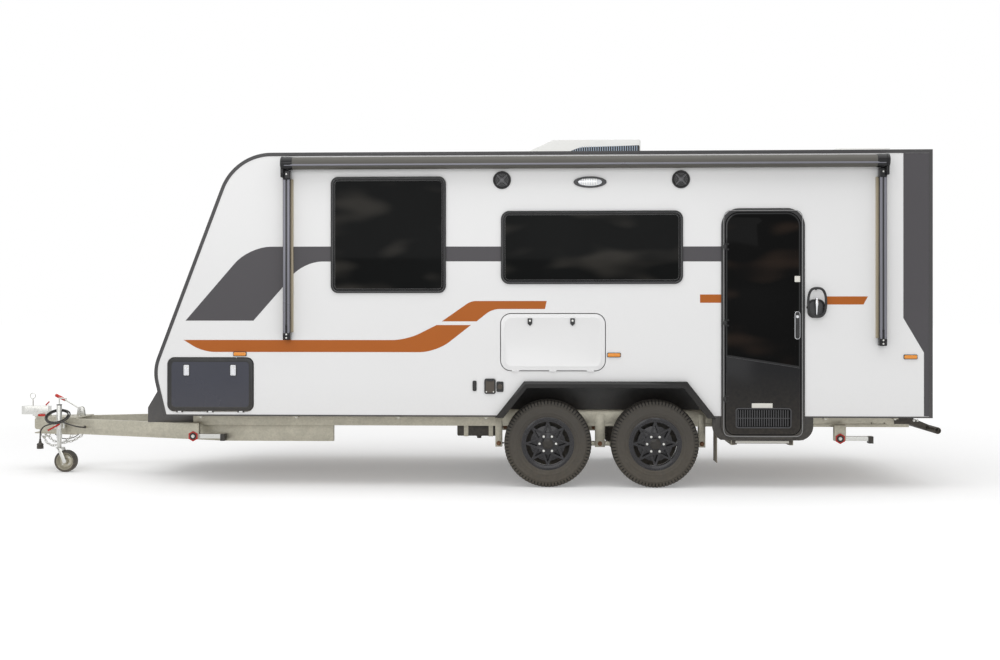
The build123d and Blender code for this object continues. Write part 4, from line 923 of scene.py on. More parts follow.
def upright(y):
    """Places across and up on a face that looks sideways."""
    return lambda across, up: Vector((across, y, up))


def on_wall(sign, out=0.0):
    """Places across and up on a side wall."""
    return upright(sign * (WALL_Y + out))


def on_rear(out=0.0):
    """Places across and up on the rear wall."""
    return lambda across, up: Vector((REAR_X + out, across, up))


def on_top(z):
    """Places along and across on a level face."""
    return lambda along, across: Vector((along, across, z))


def outward(sign, thick):
    """The way out of a side wall, as long as a thickness."""
    return Vector((0, sign * thick, 0))


def plate(middle, size, corner, face, thick, soft=0.001, steps=()):
    """A plate with rounded corners. steps are the insets of its front face and how far each moves in."""
    x, z = middle
    w, h = size[0] / 2, size[1] / 2
    corners = [(x - w, z - h, corner), (x + w, z - h, corner), (x + w, z + h, corner), (x - w, z + h, corner)]
    piece = sheet(corners, face, thick)
    out = Vector(thick).normalized()
    open_up(piece, "FACE")
    mesh = bmesh.from_edit_mesh(piece.data)
    reach = max(vertex.co.dot(out) for vertex in mesh.verts)
    for side in mesh.faces:
        level = side.calc_center_median().dot(out)
        side.select = side.normal.dot(out) > SQUARE_ON and level > reach - NEAR
    bmesh.update_edit_mesh(piece.data)
    if soft:
        bpy.ops.mesh.inset(thickness=soft, depth=0.0)
        mesh = bmesh.from_edit_mesh(piece.data)
        for vertex in mesh.verts:
            if not vertex.select and vertex.co.dot(out) > reach - NEARER:
                vertex.co -= out * soft
        bmesh.update_edit_mesh(piece.data)
    for inset, depth, slot in steps:
        bpy.ops.mesh.inset(thickness=inset, depth=-depth)
        mesh = bmesh.from_edit_mesh(piece.data)
        for side in mesh.faces:
            if side.select:
                side.material_index = slot
        bmesh.update_edit_mesh(piece.data)
    close_up()
    return piece


def run(name, points, radius, smoothness, steps, kind="NURBS", closed=False):
    """A curve along its points, round in section."""
    data = bpy.data.curves.new(name, "CURVE")
    data.dimensions = "3D"
    spline = data.splines.new(kind)
    spline.points.add(len(points) - 1)
    for spot, point in zip(spline.points, points):
        spot.co = (*point, 1.0)
    if kind == "NURBS":
        spline.order_u = 3
        spline.use_endpoint_u = not closed
        spline.use_cyclic_u = closed
        spline.resolution_u = smoothness
    data.bevel_depth = radius
    data.bevel_resolution = steps
    data.use_fill_caps = not closed
    piece = bpy.data.objects.new(name, data)
    bpy.context.collection.objects.link(piece)
    return piece


def as_mesh(curve):
    """A curve made a mesh, its doubles merged and its faces outwards."""
    pick(curve)
    bpy.ops.object.convert(target="MESH")
    put_right(bpy.context.object)
    return bpy.context.object


def bar(points, radius, smooth=False):
    """A round bar bent along its points."""
    return as_mesh(run("bar", points, radius, 8, 3, "NURBS" if smooth else "POLY"))


def ringed(points, radius, steps=3):
    """A round bar bent along its points and closed on itself."""
    return as_mesh(run("ring", points, radius, 4, steps, closed=True))


def eased(name, coat, width, spread=40.0):
    """A copy of a frame piece with its edges eased, which stands for it."""
    piece = bpy.data.objects.new(f"{name}_eased", NODES[name].data.copy())
    bpy.context.collection.objects.link(piece)
    piece.data.materials.clear()
    open_up(piece, "VERT", "SELECT")
    bpy.ops.mesh.remove_doubles(threshold=NEAR)
    bpy.ops.mesh.dissolve_limited(angle_limit=math.radians(0.5))
    close_up()
    rounding = piece.modifiers.new("Edges", "BEVEL")
    rounding.width = width
    rounding.segments = 2
    rounding.limit_method = "ANGLE"
    rounding.angle_limit = math.radians(spread)
    pick(piece)
    bpy.ops.object.modifier_apply(modifier=rounding.name)
    return placed(piece, f"{name}_eased", BODY_OF[name], coat, replaces=[name])


def coat_node(name, coat):
    """A frame piece whose shape is right gets its finish."""
    for place in NODES[name].material_slots:
        place.material = coat
    if not NODES[name].material_slots:
        NODES[name].data.materials.append(coat)


def ribbed(low, high, count, along, share=0.5, soft=0.0006):
    """A row of like bars that fills a box along one axis."""
    step = (high[along] - low[along]) / count
    first_high = list(high)
    first_high[along] = low[along] + step * share
    first = block(low, first_high, soft, 1)
    row = [first]
    for place in range(1, count):
        shift = [0.0, 0.0, 0.0]
        shift[along] = step * place
        row.append(copied(first, Matrix.Translation(shift)))
    return joined(row)


def chained(route, pitch=0.026, wire=0.0032):
    """A chain of links along a route, each turned a quarter from the last."""
    route = [Vector(point) for point in route]
    spots, left = [], 0.0
    for start, end in zip(route, route[1:]):
        length = (end - start).length
        at = left
        while at < length:
            spots.append((start.lerp(end, at / length), (end - start).normalized()))
            at += pitch
        left = at - length
    links = []
    for place, (spot, direction) in enumerate(spots):
        turn = direction.to_track_quat("X", "Z").to_matrix().to_4x4()
        roll = Matrix.Rotation(math.radians(90 * (place % 2) + 20), 4, "X")
        long, wide = pitch * 0.72, pitch * 0.36
        ring = [(long, 0, 0), (long * 0.7, wide, 0), (-long * 0.7, wide, 0), (-long, 0, 0),
                (-long * 0.7, -wide, 0), (long * 0.7, -wide, 0)]
        move = Matrix.Translation(spot) @ turn @ roll
        links.append(ringed([move @ Vector(point) for point in ring], wire, 1))
    return joined(links)


def hexagon(centre, axis, radius, height, coat):
    """A nut or bolt head with its washer."""
    centre, axis = Vector(centre), Vector(axis).normalized()
    washer = turned(centre, axis, [(0, radius * 1.25), (height * 0.2, radius * 1.25)], 20)
    head = turned(centre, axis, [(height * 0.2, radius), (height * 0.85, radius), (height, radius * 0.82)], 6)
    return coated(joined([head, washer]), coat)


# The stage


class CARAVAN_OT_stage(bpy.types.Operator):
    """Camera, pale floor, lamps and world"""

    bl_idname = "caravan.stage"
    bl_label = "Stage"

    def execute(self, context):
        deselect()
        bpy.ops.object.camera_add(
            location=CAMERA_PLACE, rotation=[math.radians(turn) for turn in CAMERA_TURN],
        )
        camera = context.object
        camera.data.lens = LENS
        camera.data.sensor_width = SENSOR_WIDTH
        camera.data.sensor_fit = "HORIZONTAL"
        camera.data.shift_y = FRAME_SHIFT
        camera.data.clip_end = 2000.0
        context.scene.camera = camera

        deselect()
        bpy.ops.mesh.primitive_plane_add(size=FLOOR_SIZE, location=(0, 0, 0))
        floor = context.object
        floor.name = "studio_floor"
        open_up(floor, "FACE", "SELECT")
        bpy.ops.mesh.inset(thickness=FLOOR_SIZE * 0.45)
        close_up()
        floor.data.materials.append(self.floor_paint())

        for name, place, size, power in LAMPS:
            bpy.ops.object.light_add(type="AREA", location=place)
            lamp = context.object
            lamp.name = name
            lamp.data.shape = "RECTANGLE"
            lamp.data.size, lamp.data.size_y = size
            lamp.data.energy = power
            lamp.rotation_euler = (Vector(LAMP_AIM) - Vector(place)).to_track_quat("-Z", "Y").to_euler()

        self.sky(context.scene)
        context.scene.view_settings.view_transform = "Standard"
        return {"FINISHED"}

    @staticmethod
    def seen(tree):
        """1 for camera, glossy and transmission rays."""
        rays = node(tree, "LightPath")
        both = sums(tree, "MAXIMUM", rays.outputs["Is Camera Ray"], rays.outputs["Is Glossy Ray"])
        return sums(tree, "MAXIMUM", both, rays.outputs["Is Transmission Ray"])

    def floor_paint(self):
        made = bpy.data.materials.new("Studio floor")
        made.use_nodes = True
        tree = made.node_tree
        tree.nodes.clear()
        paint = node(tree, "BsdfDiffuse", None, Color=(0.84, 0.84, 0.84, 1))
        glow = node(tree, "Emission", None, Color=(1, 1, 1, 1))
        place = node(tree, "TexCoord")
        away = node(tree, "VectorMath", {"operation": "LENGTH"})
        tree.links.new(place.outputs["Object"], away.inputs[0])
        spread = node(
            tree, "MapRange", {"interpolation_type": "SMOOTHSTEP"}, From_Min=GLOW_REACH[0],
            From_Max=GLOW_REACH[1], To_Min=FLOOR_GLOW[0], To_Max=FLOOR_GLOW[1],
        )
        tree.links.new(away.outputs["Value"], spread.inputs["Value"])
        tree.links.new(sums(tree, "MULTIPLY", self.seen(tree), spread.outputs[0]), glow.inputs["Strength"])
        both = node(tree, "AddShader")
        tree.links.new(paint.outputs[0], both.inputs[0])
        tree.links.new(glow.outputs[0], both.inputs[1])
        tree.links.new(both.outputs[0], node(tree, "OutputMaterial").inputs["Surface"])
        return made

    def sky(self, scene):
        world = bpy.data.worlds.new("Studio")
        world.use_nodes = True
        tree = world.node_tree
        tree.nodes.clear()
        light = node(tree, "Background", None, Color=(1, 1, 1, 1))
        level = sums(tree, "ADD", SKY_LIGHT, sums(tree, "MULTIPLY", self.seen(tree), 1.0 - SKY_LIGHT))
        tree.links.new(level, light.inputs["Strength"])
        tree.links.new(light.outputs[0], node(tree, "OutputWorld").inputs["Surface"])
        scene.world = world


# The pieces, from the lead to the ends


class CARAVAN_OT_lead(bpy.types.Operator):
    """Trailer lead with its loops round the jockey post, its strain relief and its plug"""

    bl_idname = "caravan.lead"
    bl_label = "Trailer lead"

    def execute(self, context):
        loops = sizes().loops
        count = LOOP_POINTS * loops // 3
        lean, rise = math.cos(LOOP_TILT), math.sin(LOOP_TILT)
        axis = Vector((0, -rise, lean))
        points = [Vector(point) for point in LEAD_IN]
        for place in range(count):
            share = place / (count - 1)
            angle = math.radians(LOOP_START - (360 * loops + LOOP_SPARE) * share)
            drift = math.tau * share * (loops + 0.08) / 3 + 0.4
            reach = LOOP_R + BUNDLE_R * math.cos(drift) + 0.002 * math.sin(2.3 * drift)
            across = Vector((math.cos(angle), math.sin(angle) * lean, math.sin(angle) * rise))
            points.append(Vector(LOOP_CENTRE) + across * reach + axis * (BUNDLE_R * math.sin(drift)))
        points += [Vector(point) for point in LEAD_OUT]

        lead = run("trailer_lead_run", points, sizes().lead / 2, 12, 4)
        lead.data.materials.append(lead_jacket())

        top = Vector(LEAD_OUT[-1])
        plug = turned(top, (0, 0, -1), [
            (0.0, 0.0085), (0.004, 0.0105), (0.008, 0.0085), (0.012, 0.011), (0.016, 0.009), (0.020, 0.0125),
            (0.034, 0.014), (0.038, 0.022), (0.044, 0.0285), (0.048, 0.0300), (0.056, 0.0300),
            (0.058, 0.0275), (0.062, 0.0275), (0.064, 0.0300), (0.084, 0.0300), (0.089, 0.0285),
            (0.0895, 0.0245), (0.078, 0.0240), (0.078, 0.004),
        ], 40)
        grips = []
        for place in range(12):
            rib = block(
                (top.x + 0.0285, top.y - 0.0022, top.z - 0.082),
                (top.x + 0.0298, top.y + 0.0022, top.z - 0.066), 0.0005, 1,
            )
            rib.data.transform(about(top, Matrix.Rotation(math.tau * place / 12, 4, "Z")))
            grips.append(rib)
        pins = []
        for place in range(7):
            reach = 0.0 if place == 6 else 0.014
            turn = math.tau * place / 6
            foot = top + Vector((reach * math.cos(turn), reach * math.sin(turn), -0.0785))
            pin = turned(foot, (0, 0, -1), [(0, 0.0022), (0.007, 0.0022), (0.0085, 0.0012)], 10)
            pins.append(coated(pin, chrome()))
        body = joined(
            [coated(plug, black_moulding())] + [coated(rib, black_moulding()) for rib in grips] + pins
        )
        placed(body, "trailer_plug_body", "root", slot="black_plastic", replaces=["trailer_plug"])

        start = Vector(LEAD_IN[0])
        relief = turned(start + Vector((0, 0.002, 0)), (0, -1, 0), [
            (0.0, 0.0120), (0.004, 0.0120), (0.006, 0.0108), (0.011, 0.0108), (0.012, 0.0098),
            (0.016, 0.0103), (0.017, 0.0093), (0.021, 0.0097), (0.022, 0.0088), (0.026, 0.0092),
            (0.027, 0.0083), (0.031, 0.0085), (0.032, 0.0076), (0.038, 0.0072),
        ], 28)
        placed(relief, "lead_strain_relief", "root", black_moulding(), slot="black_plastic")

        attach(lead, "root")
        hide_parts("trailer_lead", "trailer_lead_coil")
        return {"FINISHED"}


class CARAVAN_OT_shell(bpy.types.Operator):
    """Walls, roof and floor with their skins, and the trims along their edges"""

    bl_idname = "caravan.shell"
    bl_label = "Walls and roof"

    def execute(self, context):
        for name in ("left_wall", "right_wall", "front_wall", "rear_wall", "roof"):
            coat_node(name, wall_skin())
        coat_node("floor", floor_board())
        eased("edge_trims", trim_paint(), 0.0008)

        strips = []
        for x in ROOF_SEAMS:
            strips.append(
                block((x - 0.012, -1.145, ROOF_Z - 0.0005), (x + 0.012, 1.145, ROOF_Z + 0.0025), 0.001)
            )
        placed(joined(strips), "roof_seams", "root", wall_skin(), slot="roof_skin")

        skin = Vector((0.0016, 0, 0))
        band = plate((0.0, 1.55), (1.90, 0.52), 0.09, on_rear(), skin, 0.0008)
        placed(band, "rear_band", "root", charcoal_vinyl(), slot="boot_lid")

        backing = Vector((0.006, 0, 0))
        base = plate((0.0, 0.86), (0.392, 0.154), 0.012, on_rear(), backing, 0.001)
        blank = plate(
            (0.0, 0.86), (0.372, 0.134), 0.010, on_rear(backing.x), skin, 0.0005, [(0.004, 0.0004, 0)],
        )
        lamp = block((REAR_X, -0.05, 0.955), (REAR_X + 0.022, 0.05, 0.983), 0.006, 3)
        parts = [
            coated(base, black_moulding()), coated(blank, white_shroud()), coated(lamp, black_moulding()),
        ]
        placed(joined(parts), "rear_plate", "root", slot="black_plastic")
        return {"FINISHED"}


class CARAVAN_OT_stripes(bpy.types.Operator):
    """Vinyl stripes on both side walls"""

    bl_idname = "caravan.stripes"
    bl_label = "Stripes"

    def execute(self, context):
        coats = {"charcoal": charcoal_vinyl(), "orange": orange_vinyl()}
        for side, sign in SIDES.items():
            for name, colour, corners in STRIPES:
                if side == "right" and name in DOOR_SIDE_STRIPES:
                    continue
                piece = sheet(corners, on_wall(sign), outward(sign, sizes().vinyl))
                slot = "boot_lid" if colour == "charcoal" else "amber_lens"
                placed(piece, f"{name}_{side}", "root", coats[colour], slot=slot)
        return {"FINISHED"}


class CARAVAN_OT_windows(bpy.types.Operator):
    """Side windows: acrylic panes in moulded frames, with a hinge rail over each"""

    bl_idname = "caravan.windows"
    bl_label = "Windows"

    def execute(self, context):
        coats = (black_moulding(), frame_bevel(), highlight_line(), tinted_glass(), pane_border())
        windows = []
        for side, x, z, width, height, corner in WINDOWS:
            sign = SIDES[side]
            # The two thin pale grey rings in the frame's steps, either side of the pane's black border, are
            # painted highlights.
            moulding = plate(
                (x, z), (width, height), corner, on_wall(sign), outward(sign, 0.016), 0.003,
                [
                    (0.006, 0.0, 0), (0.003, 0.0030, 1), (0.0022, 0.0020, 1), (0.0020, -0.0006, 2),
                    (0.0008, 0.0012, 4), (0.016, 0.0, 4), (0.0020, -0.0004, 2), (0.0008, 0.0006, 3),
                ],
            )
            windows.append(coated(moulding, *coats))
            rail_y = sorted((sign * (WALL_Y + 0.006), sign * (WALL_Y + 0.0215)))
            reach = width / 2 - corner
            top = z + height / 2
            inner, outer = 0.15 * width, 0.16 * width
            for low, high in ((x - reach, x - outer), (x - inner, x + inner), (x + outer, x + reach)):
                rail = block((low, rail_y[0], top - 0.014), (high, rail_y[1], top - 0.001), 0.003, 3)
                windows.append(coated(rail, black_moulding()))
        placed(
            joined(windows), "side_windows", "root", smooth=25.0, slot="tinted_pane",
            replaces=["window_frames", "window_panes"],
        )
        return {"FINISHED"}


class CARAVAN_OT_door(bpy.types.Operator):
    """Entry door with its kick panel, louvre and latch, a thin bead round it in painted highlight, and its
    frame and step well
    """

    bl_idname = "caravan.door"
    bl_label = "Entry door"

    def execute(self, context):
        eased("door_frame", black_moulding(), sizes().edge)
        eased("step_well", black_moulding(), 0.005)
        eased("entry_door", gloss_black(), 0.002)
        face = on_wall(-1, 0.012)
        vent = (2.668, 0.599)
        latch_x = 2.951
        front_y = -WALL_Y - 0.0135
        parts = []
        glass = sheet(
            [(2.366, 1.130, 0), (2.963, 1.037, 0), (2.963, 2.314, 0.10), (2.366, 2.314, 0.10)],
            face, outward(-1, 0.0012), 0.0004,
        )
        parts.append(coated(glass, door_glass()))
        kick = sheet(
            [(2.358, 0.468, 0.070), (2.971, 0.468, 0.070), (2.971, 1.019, 0), (2.358, 1.115, 0)],
            face, outward(-1, 0.0014), 0.0005,
        )
        parts.append(coated(kick, kick_panel()))
        edge = bar([(2.358, -1.1936, 1.1155), (2.971, -1.1936, 1.0195)], 0.0022)
        parts.append(coated(edge, frame_bevel()))
        louvre = plate(
            vent, (0.466, 0.170), 0.024, on_wall(-1, 0.0134), outward(-1, 0.006), 0.0015,
            [(0.007, 0.0, 0), (0.003, 0.0045, 0)],
        )
        parts.append(coated(louvre, frame_bevel()))
        # A near-black sheet behind the louvre's bars: painted shade inside the vent.
        shade_behind_bars = plate(vent, (0.446, 0.150), 0.018, on_wall(-1, 0.0145), outward(-1, 0.0008), 0.0002)
        parts.append(coated(shade_behind_bars, door_glass()))
        bars = ribbed((2.452, -1.1990, 0.530), (2.886, -1.1950, 0.668), 22, 0, 0.42)
        parts.append(coated(bars, frame_bevel()))
        rail = block((2.450, -1.1994, 0.5955), (2.886, -1.1952, 0.6015), 0.001, 1)
        parts.append(coated(rail, frame_bevel()))
        label = plate(
            (2.6565, 0.7045), (0.173, 0.039), 0.003, on_wall(-1, 0.0134), outward(-1, 0.0006), 0.0002,
        )
        parts.append(coated(label, blank_label()))
        ring = plate(
            (latch_x, 1.379), (0.046, 0.234), 0.0225, face, outward(-1, 0.005), 0.0012,
            [(0.0025, 0.0, 0), (0.0015, 0.0028, 1), (0.001, 0.0, 1)],
        )
        parts.append(coated(ring, chrome(), black_moulding()))
        pull = plate(
            (latch_x, 1.345), (0.026, 0.108), 0.0125, on_wall(-1, 0.0135), outward(-1, 0.008), 0.002,
            [(0.003, 0.0012, 0)],
        )
        parts.append(coated(pull, black_moulding()))
        knob = turned(
            (latch_x, front_y, 1.452), (0, -1, 0),
            [(0, 0.0125), (0.006, 0.0125), (0.0075, 0.011), (0.0078, 0.004), (0.0062, 0.003)], 24,
        )
        parts.append(coated(knob, chrome()))
        tab = plate((2.950, 1.768), (0.046, 0.050), 0.004, face, outward(-1, 0.0022), 0.0006)
        parts.append(coated(tab, blank_label()))
        placed(joined(parts), "door_fittings", "entry_door", slot="door_glass")

        # A thin pale grey bead round the door's edge: a painted highlight on the frame.
        highlight_ring = ringed(
            [(x, front_y, z) for x, z in (
                (2.336, 0.56), (2.336, 0.45), (2.43, 0.444), (2.90, 0.444), (2.993, 0.45), (2.993, 0.56),
                (2.993, 2.20), (2.993, 2.345), (2.86, 2.345), (2.47, 2.345), (2.336, 2.345), (2.336, 2.20),
            )], 0.0028, 2,
        )
        placed(highlight_ring, "door_frame_highlight_bead", "root", highlight_line(), slot="dark_frame")

        strip = block((2.375, -1.186, 0.4115), (2.955, -1.158, 0.4265), 0.003, 2)
        treads = ribbed((2.39, -1.152, 0.4232), (2.94, -0.90, 0.4262), 26, 0, 0.4)
        placed(joined([strip, treads]), "step_well_tread", "root", black_moulding(), slot="black_plastic")
        return {"FINISHED"}


class CARAVAN_OT_lids(bpy.types.Operator):
    """Boot lids with their chrome latches, and the drop-down picnic table"""

    bl_idname = "caravan.lids"
    bl_label = "Lids and table"

    def execute(self, context):
        for side, sign in SIDES.items():
            name = f"boot_lid_{side}"
            eased(name, black_moulding(), sizes().edge)
            parts = []
            skin = plate(
                (-2.029, 0.873), (0.690, 0.406), 0.040, on_wall(sign, 0.010), outward(sign, 0.0022), 0.0010,
                [(0.006, 0.0, 0), (0.004, 0.0012, 1), (0.004, -0.0002, 1)],
            )
            parts.append(coated(skin, black_moulding(), boot_skin()))
            latch_z = 0.9935
            for x in (-2.2335, -1.830):
                surround = plate(
                    (x, latch_z), (0.058, 0.100), 0.010, on_wall(sign, 0.0105), outward(sign, 0.0035), 0.001,
                )
                parts.append(coated(surround, black_moulding()))
                latch = plate(
                    (x, latch_z), (0.047, 0.089), 0.008, on_wall(sign, 0.014), outward(sign, 0.006), 0.0015,
                    [(0.004, 0.0, 0), (0.002, 0.0022, 0)],
                )
                parts.append(coated(latch, chrome()))
                paddle = plate(
                    (x, 0.982), (0.030, 0.052), 0.005, on_wall(sign, 0.0178), outward(sign, 0.0042), 0.0012,
                )
                parts.append(coated(paddle, chrome()))
                barrel = turned(
                    (x, sign * (WALL_Y + 0.018), 1.020), (0, sign, 0),
                    [(0, 0.0085), (0.0045, 0.0085), (0.0055, 0.007), (0.004, 0.0015)], 20,
                )
                parts.append(coated(barrel, zinc_plate()))
            placed(joined(parts), f"{name}_fittings", name, slot="boot_lid")

        eased("picnic_table", wall_skin(), 0.004)
        parts = []
        panel = plate(
            (0.900, 1.236), (0.818, 0.416), 0.058, on_wall(-1, 0.010), outward(-1, 0.0016), 0.0014,
            [(0.004, 0.0, 0), (0.004, 0.0014, 0)],
        )
        parts.append(coated(panel, wall_skin()))
        for x in (0.706, 1.066):
            latch = sheet(
                [(x - 0.0195, 1.392, 0.004), (x, 1.373, 0.004), (x + 0.0195, 1.392, 0.004),
                 (x + 0.0195, 1.438, 0.006), (x - 0.0195, 1.438, 0.006)],
                on_wall(-1, 0.010), outward(-1, 0.012), 0.002,
            )
            parts.append(coated(latch, black_moulding()))
            key = turned(
                (x, -1.2018, 1.418), (0, -1, 0),
                [(0, 0.009), (0.002, 0.009), (0.003, 0.007), (0.0015, 0.002)], 18,
            )
            parts.append(coated(key, zinc_plate()))
        placed(joined(parts), "picnic_table_fittings", "picnic_table", slot="table_skin")
        return {"FINISHED"}


class CARAVAN_OT_wall_fittings(bpy.types.Operator):
    """Outside speakers, awning lamp, service inlets and the vents on the far side"""

    bl_idname = "caravan.wall_fittings"
    bl_label = "Wall fittings"

    def execute(self, context):
        grille = speaker_grille()
        parts = []
        for x, z in SPEAKERS:
            centre = (x, -WALL_Y, z)
            dish = turned(centre, (0, -1, 0), [
                (0, 0.0725), (0.006, 0.0765), (0.011, 0.0755), (0.014, 0.071), (0.0125, 0.066),
                (0.009, 0.064), (0.006, 0.060), (0.0045, 0.058),
            ], 56)
            parts.append(coated(dish, black_moulding()))
            for ring_r in (0.052, 0.040, 0.028):
                inner_r = ring_r - 0.003
                ring = hoop(centre, (0, -1, 0), [
                    (0.0035, ring_r), (0.0085, ring_r), (0.0095, ring_r - 0.0015), (0.0085, inner_r),
                    (0.0035, inner_r),
                ], 48)
                parts.append(coated(ring, grille))
            for turn in (45, 135):
                low = (x - 0.062, -WALL_Y - 0.0125, z - 0.005)
                high = (x + 0.062, -WALL_Y - 0.008, z + 0.005)
                spoke = block(low, high, 0.0012)
                spoke.data.transform(about((x, 0, z), Matrix.Rotation(math.radians(turn), 4, "Y")))
                parts.append(coated(spoke, grille))
            cap = turned(
                centre, (0, -1, 0), [(0.004, 0.020), (0.012, 0.020), (0.0145, 0.016), (0.0155, 0.006)], 32,
            )
            parts.append(coated(cap, grille))
        placed(joined(parts), "speaker_grilles", "root", slot="black_plastic", replaces=["wall_speakers"])

        x, z = AWNING_LAMP
        squash = about((0, 0, z), Matrix.Scale(0.35, 4, (0, 0, 1)))
        bezel = turned((x, -WALL_Y, z), (0, -1, 0), [
            (0, 0.138), (0.008, 0.1395), (0.015, 0.136), (0.019, 0.128), (0.0185, 0.112), (0.013, 0.104),
        ], 72)
        lens = turned((x, -WALL_Y, z), (0, -1, 0), [
            (0.006, 0.103), (0.015, 0.100), (0.020, 0.085), (0.023, 0.055), (0.0245, 0.02),
        ], 72)
        for piece in (bezel, lens):
            piece.data.transform(squash)
        coated(bezel, frame_bevel())
        coated(lens, clear_lens())
        fins = ribbed((1.150, -WALL_Y - 0.0262, 2.563), (1.280, -WALL_Y - 0.020, 2.617), 9, 0, 0.35)
        lamp = joined([bezel, lens, coated(fins, zinc_plate())])
        placed(lamp, "awning_lamp_bezel", "root", slot="chrome_trim", replaces=["awning_lamp"])

        parts = []
        small = plate(
            (0.236, 0.865), (0.034, 0.088), 0.012, on_wall(-1), outward(-1, 0.010), 0.0015,
            [(0.004, 0.0, 0), (0.0015, 0.002, 0)],
        )
        parts.append(coated(small, black_moulding()))
        cover_x = 0.367
        cover = plate(
            (cover_x, 0.862), (0.096, 0.130), 0.018, on_wall(-1), outward(-1, 0.012), 0.0015,
            [(0.008, 0.0, 0), (0.0025, -0.0018, 1)],
        )
        parts.append(coated(cover, black_moulding(), inlet_lid()))
        catch = block((0.338, -WALL_Y - 0.0175, 0.905), (0.396, -WALL_Y - 0.012, 0.917), 0.0015, 2)
        parts.append(coated(catch, black_moulding()))
        for dx in (-0.03, 0.03):
            parts.append(
                hexagon((cover_x + dx, -WALL_Y - 0.0135, 0.815), (0, -1, 0), 0.0045, 0.002, zinc_plate())
            )
        cap_plate = plate(
            (0.452, 0.858), (0.060, 0.088), 0.012, on_wall(-1), outward(-1, 0.009), 0.0015,
            [(0.005, 0.0, 0), (0.0015, 0.0015, 0)],
        )
        parts.append(coated(cap_plate, black_moulding()))
        filler = turned(
            (0.452, -WALL_Y - 0.008, 0.858), (0, -1, 0),
            [(0, 0.022), (0.004, 0.022), (0.0055, 0.0195), (0.0052, 0.014), (0.0035, 0.013)], 32,
        )
        parts.append(coated(filler, inlet_lid()))
        placed(
            joined(parts), "service_inlet_covers", "root", slot="black_plastic", replaces=["service_inlets"],
        )

        parts = []
        for z in (1.240, 1.900):
            vent = plate(
                (2.300, z), (0.460, 0.300), 0.024, on_wall(1), outward(1, 0.010), 0.003,
                [(0.014, 0.0, 0), (0.003, 0.006, 0)],
            )
            slats = ribbed(
                (2.094, WALL_Y + 0.0045, z - 0.118), (2.506, WALL_Y + 0.0105, z + 0.118), 14, 2, 0.45,
            )
            parts += [coated(vent, white_shroud()), coated(slats, white_shroud())]
        placed(joined(parts), "side_vent_grilles", "root", slot="white_plastic", replaces=["side_vents"])
        return {"FINISHED"}


class CARAVAN_OT_lamps(bpy.types.Operator):
    """Side markers and tail lamps"""

    bl_idname = "caravan.lamps"
    bl_label = "Lamps"

    def execute(self, context):
        parts = []
        for sign in SIDES.values():
            for x, z in MARKERS:
                base = plate((x, z), (0.116, 0.040), 0.010, on_wall(sign), outward(sign, 0.006), 0.001)
                lens = plate(
                    (x, z), (0.104, 0.029), 0.008, on_wall(sign, 0.006), outward(sign, 0.009), 0.002,
                    [(0.004, -0.001, 0)],
                )
                y_low, y_high = sorted((sign * 1.1955, sign * 1.1968))
                ribs = ribbed(
                    (x - 0.040, y_low, z - 0.009), (x + 0.040, y_high, z + 0.009), 10, 0, 0.4, 0.0003,
                )
                parts += [
                    coated(base, black_moulding()), coated(lens, amber_lens()), coated(ribs, amber_lens()),
                ]
                for dx in (-0.053, 0.053):
                    parts.append(
                        hexagon((x + dx, sign * 1.186, z), (0, sign, 0), 0.0022, 0.001, zinc_plate())
                    )
        placed(joined(parts), "marker_lamp_lenses", "root", slot="amber_lens", replaces=["marker_lamps"])

        parts = []
        deep = Vector((0.016, 0, 0))
        for y in (-0.88, 0.88):
            base = plate((y, 0.98), (0.330, 0.105), 0.024, on_rear(), deep, 0.003)
            parts.append(coated(base, black_moulding()))
            for dy, width, coat in (
                (-0.105, 0.094, amber_lens()), (0.0, 0.100, red_lens()), (0.105, 0.094, red_lens()),
            ):
                lens = plate(
                    (y + dy, 0.98), (width, 0.082), 0.014, on_rear(0.016), deep, 0.004, [(0.005, -0.0015, 0)],
                )
                parts.append(coated(lens, coat))
                low = (REAR_X + 0.0325, y + dy - width * 0.32, 0.955)
                high = (REAR_X + 0.0338, y + dy + width * 0.32, 1.005)
                ribs = ribbed(low, high, 8, 1, 0.4, 0.0003)
                parts.append(coated(ribs, coat))
        placed(joined(parts), "tail_lamp_lenses", "root", slot="red_lens", replaces=["tail_lamps"])
        return {"FINISHED"}


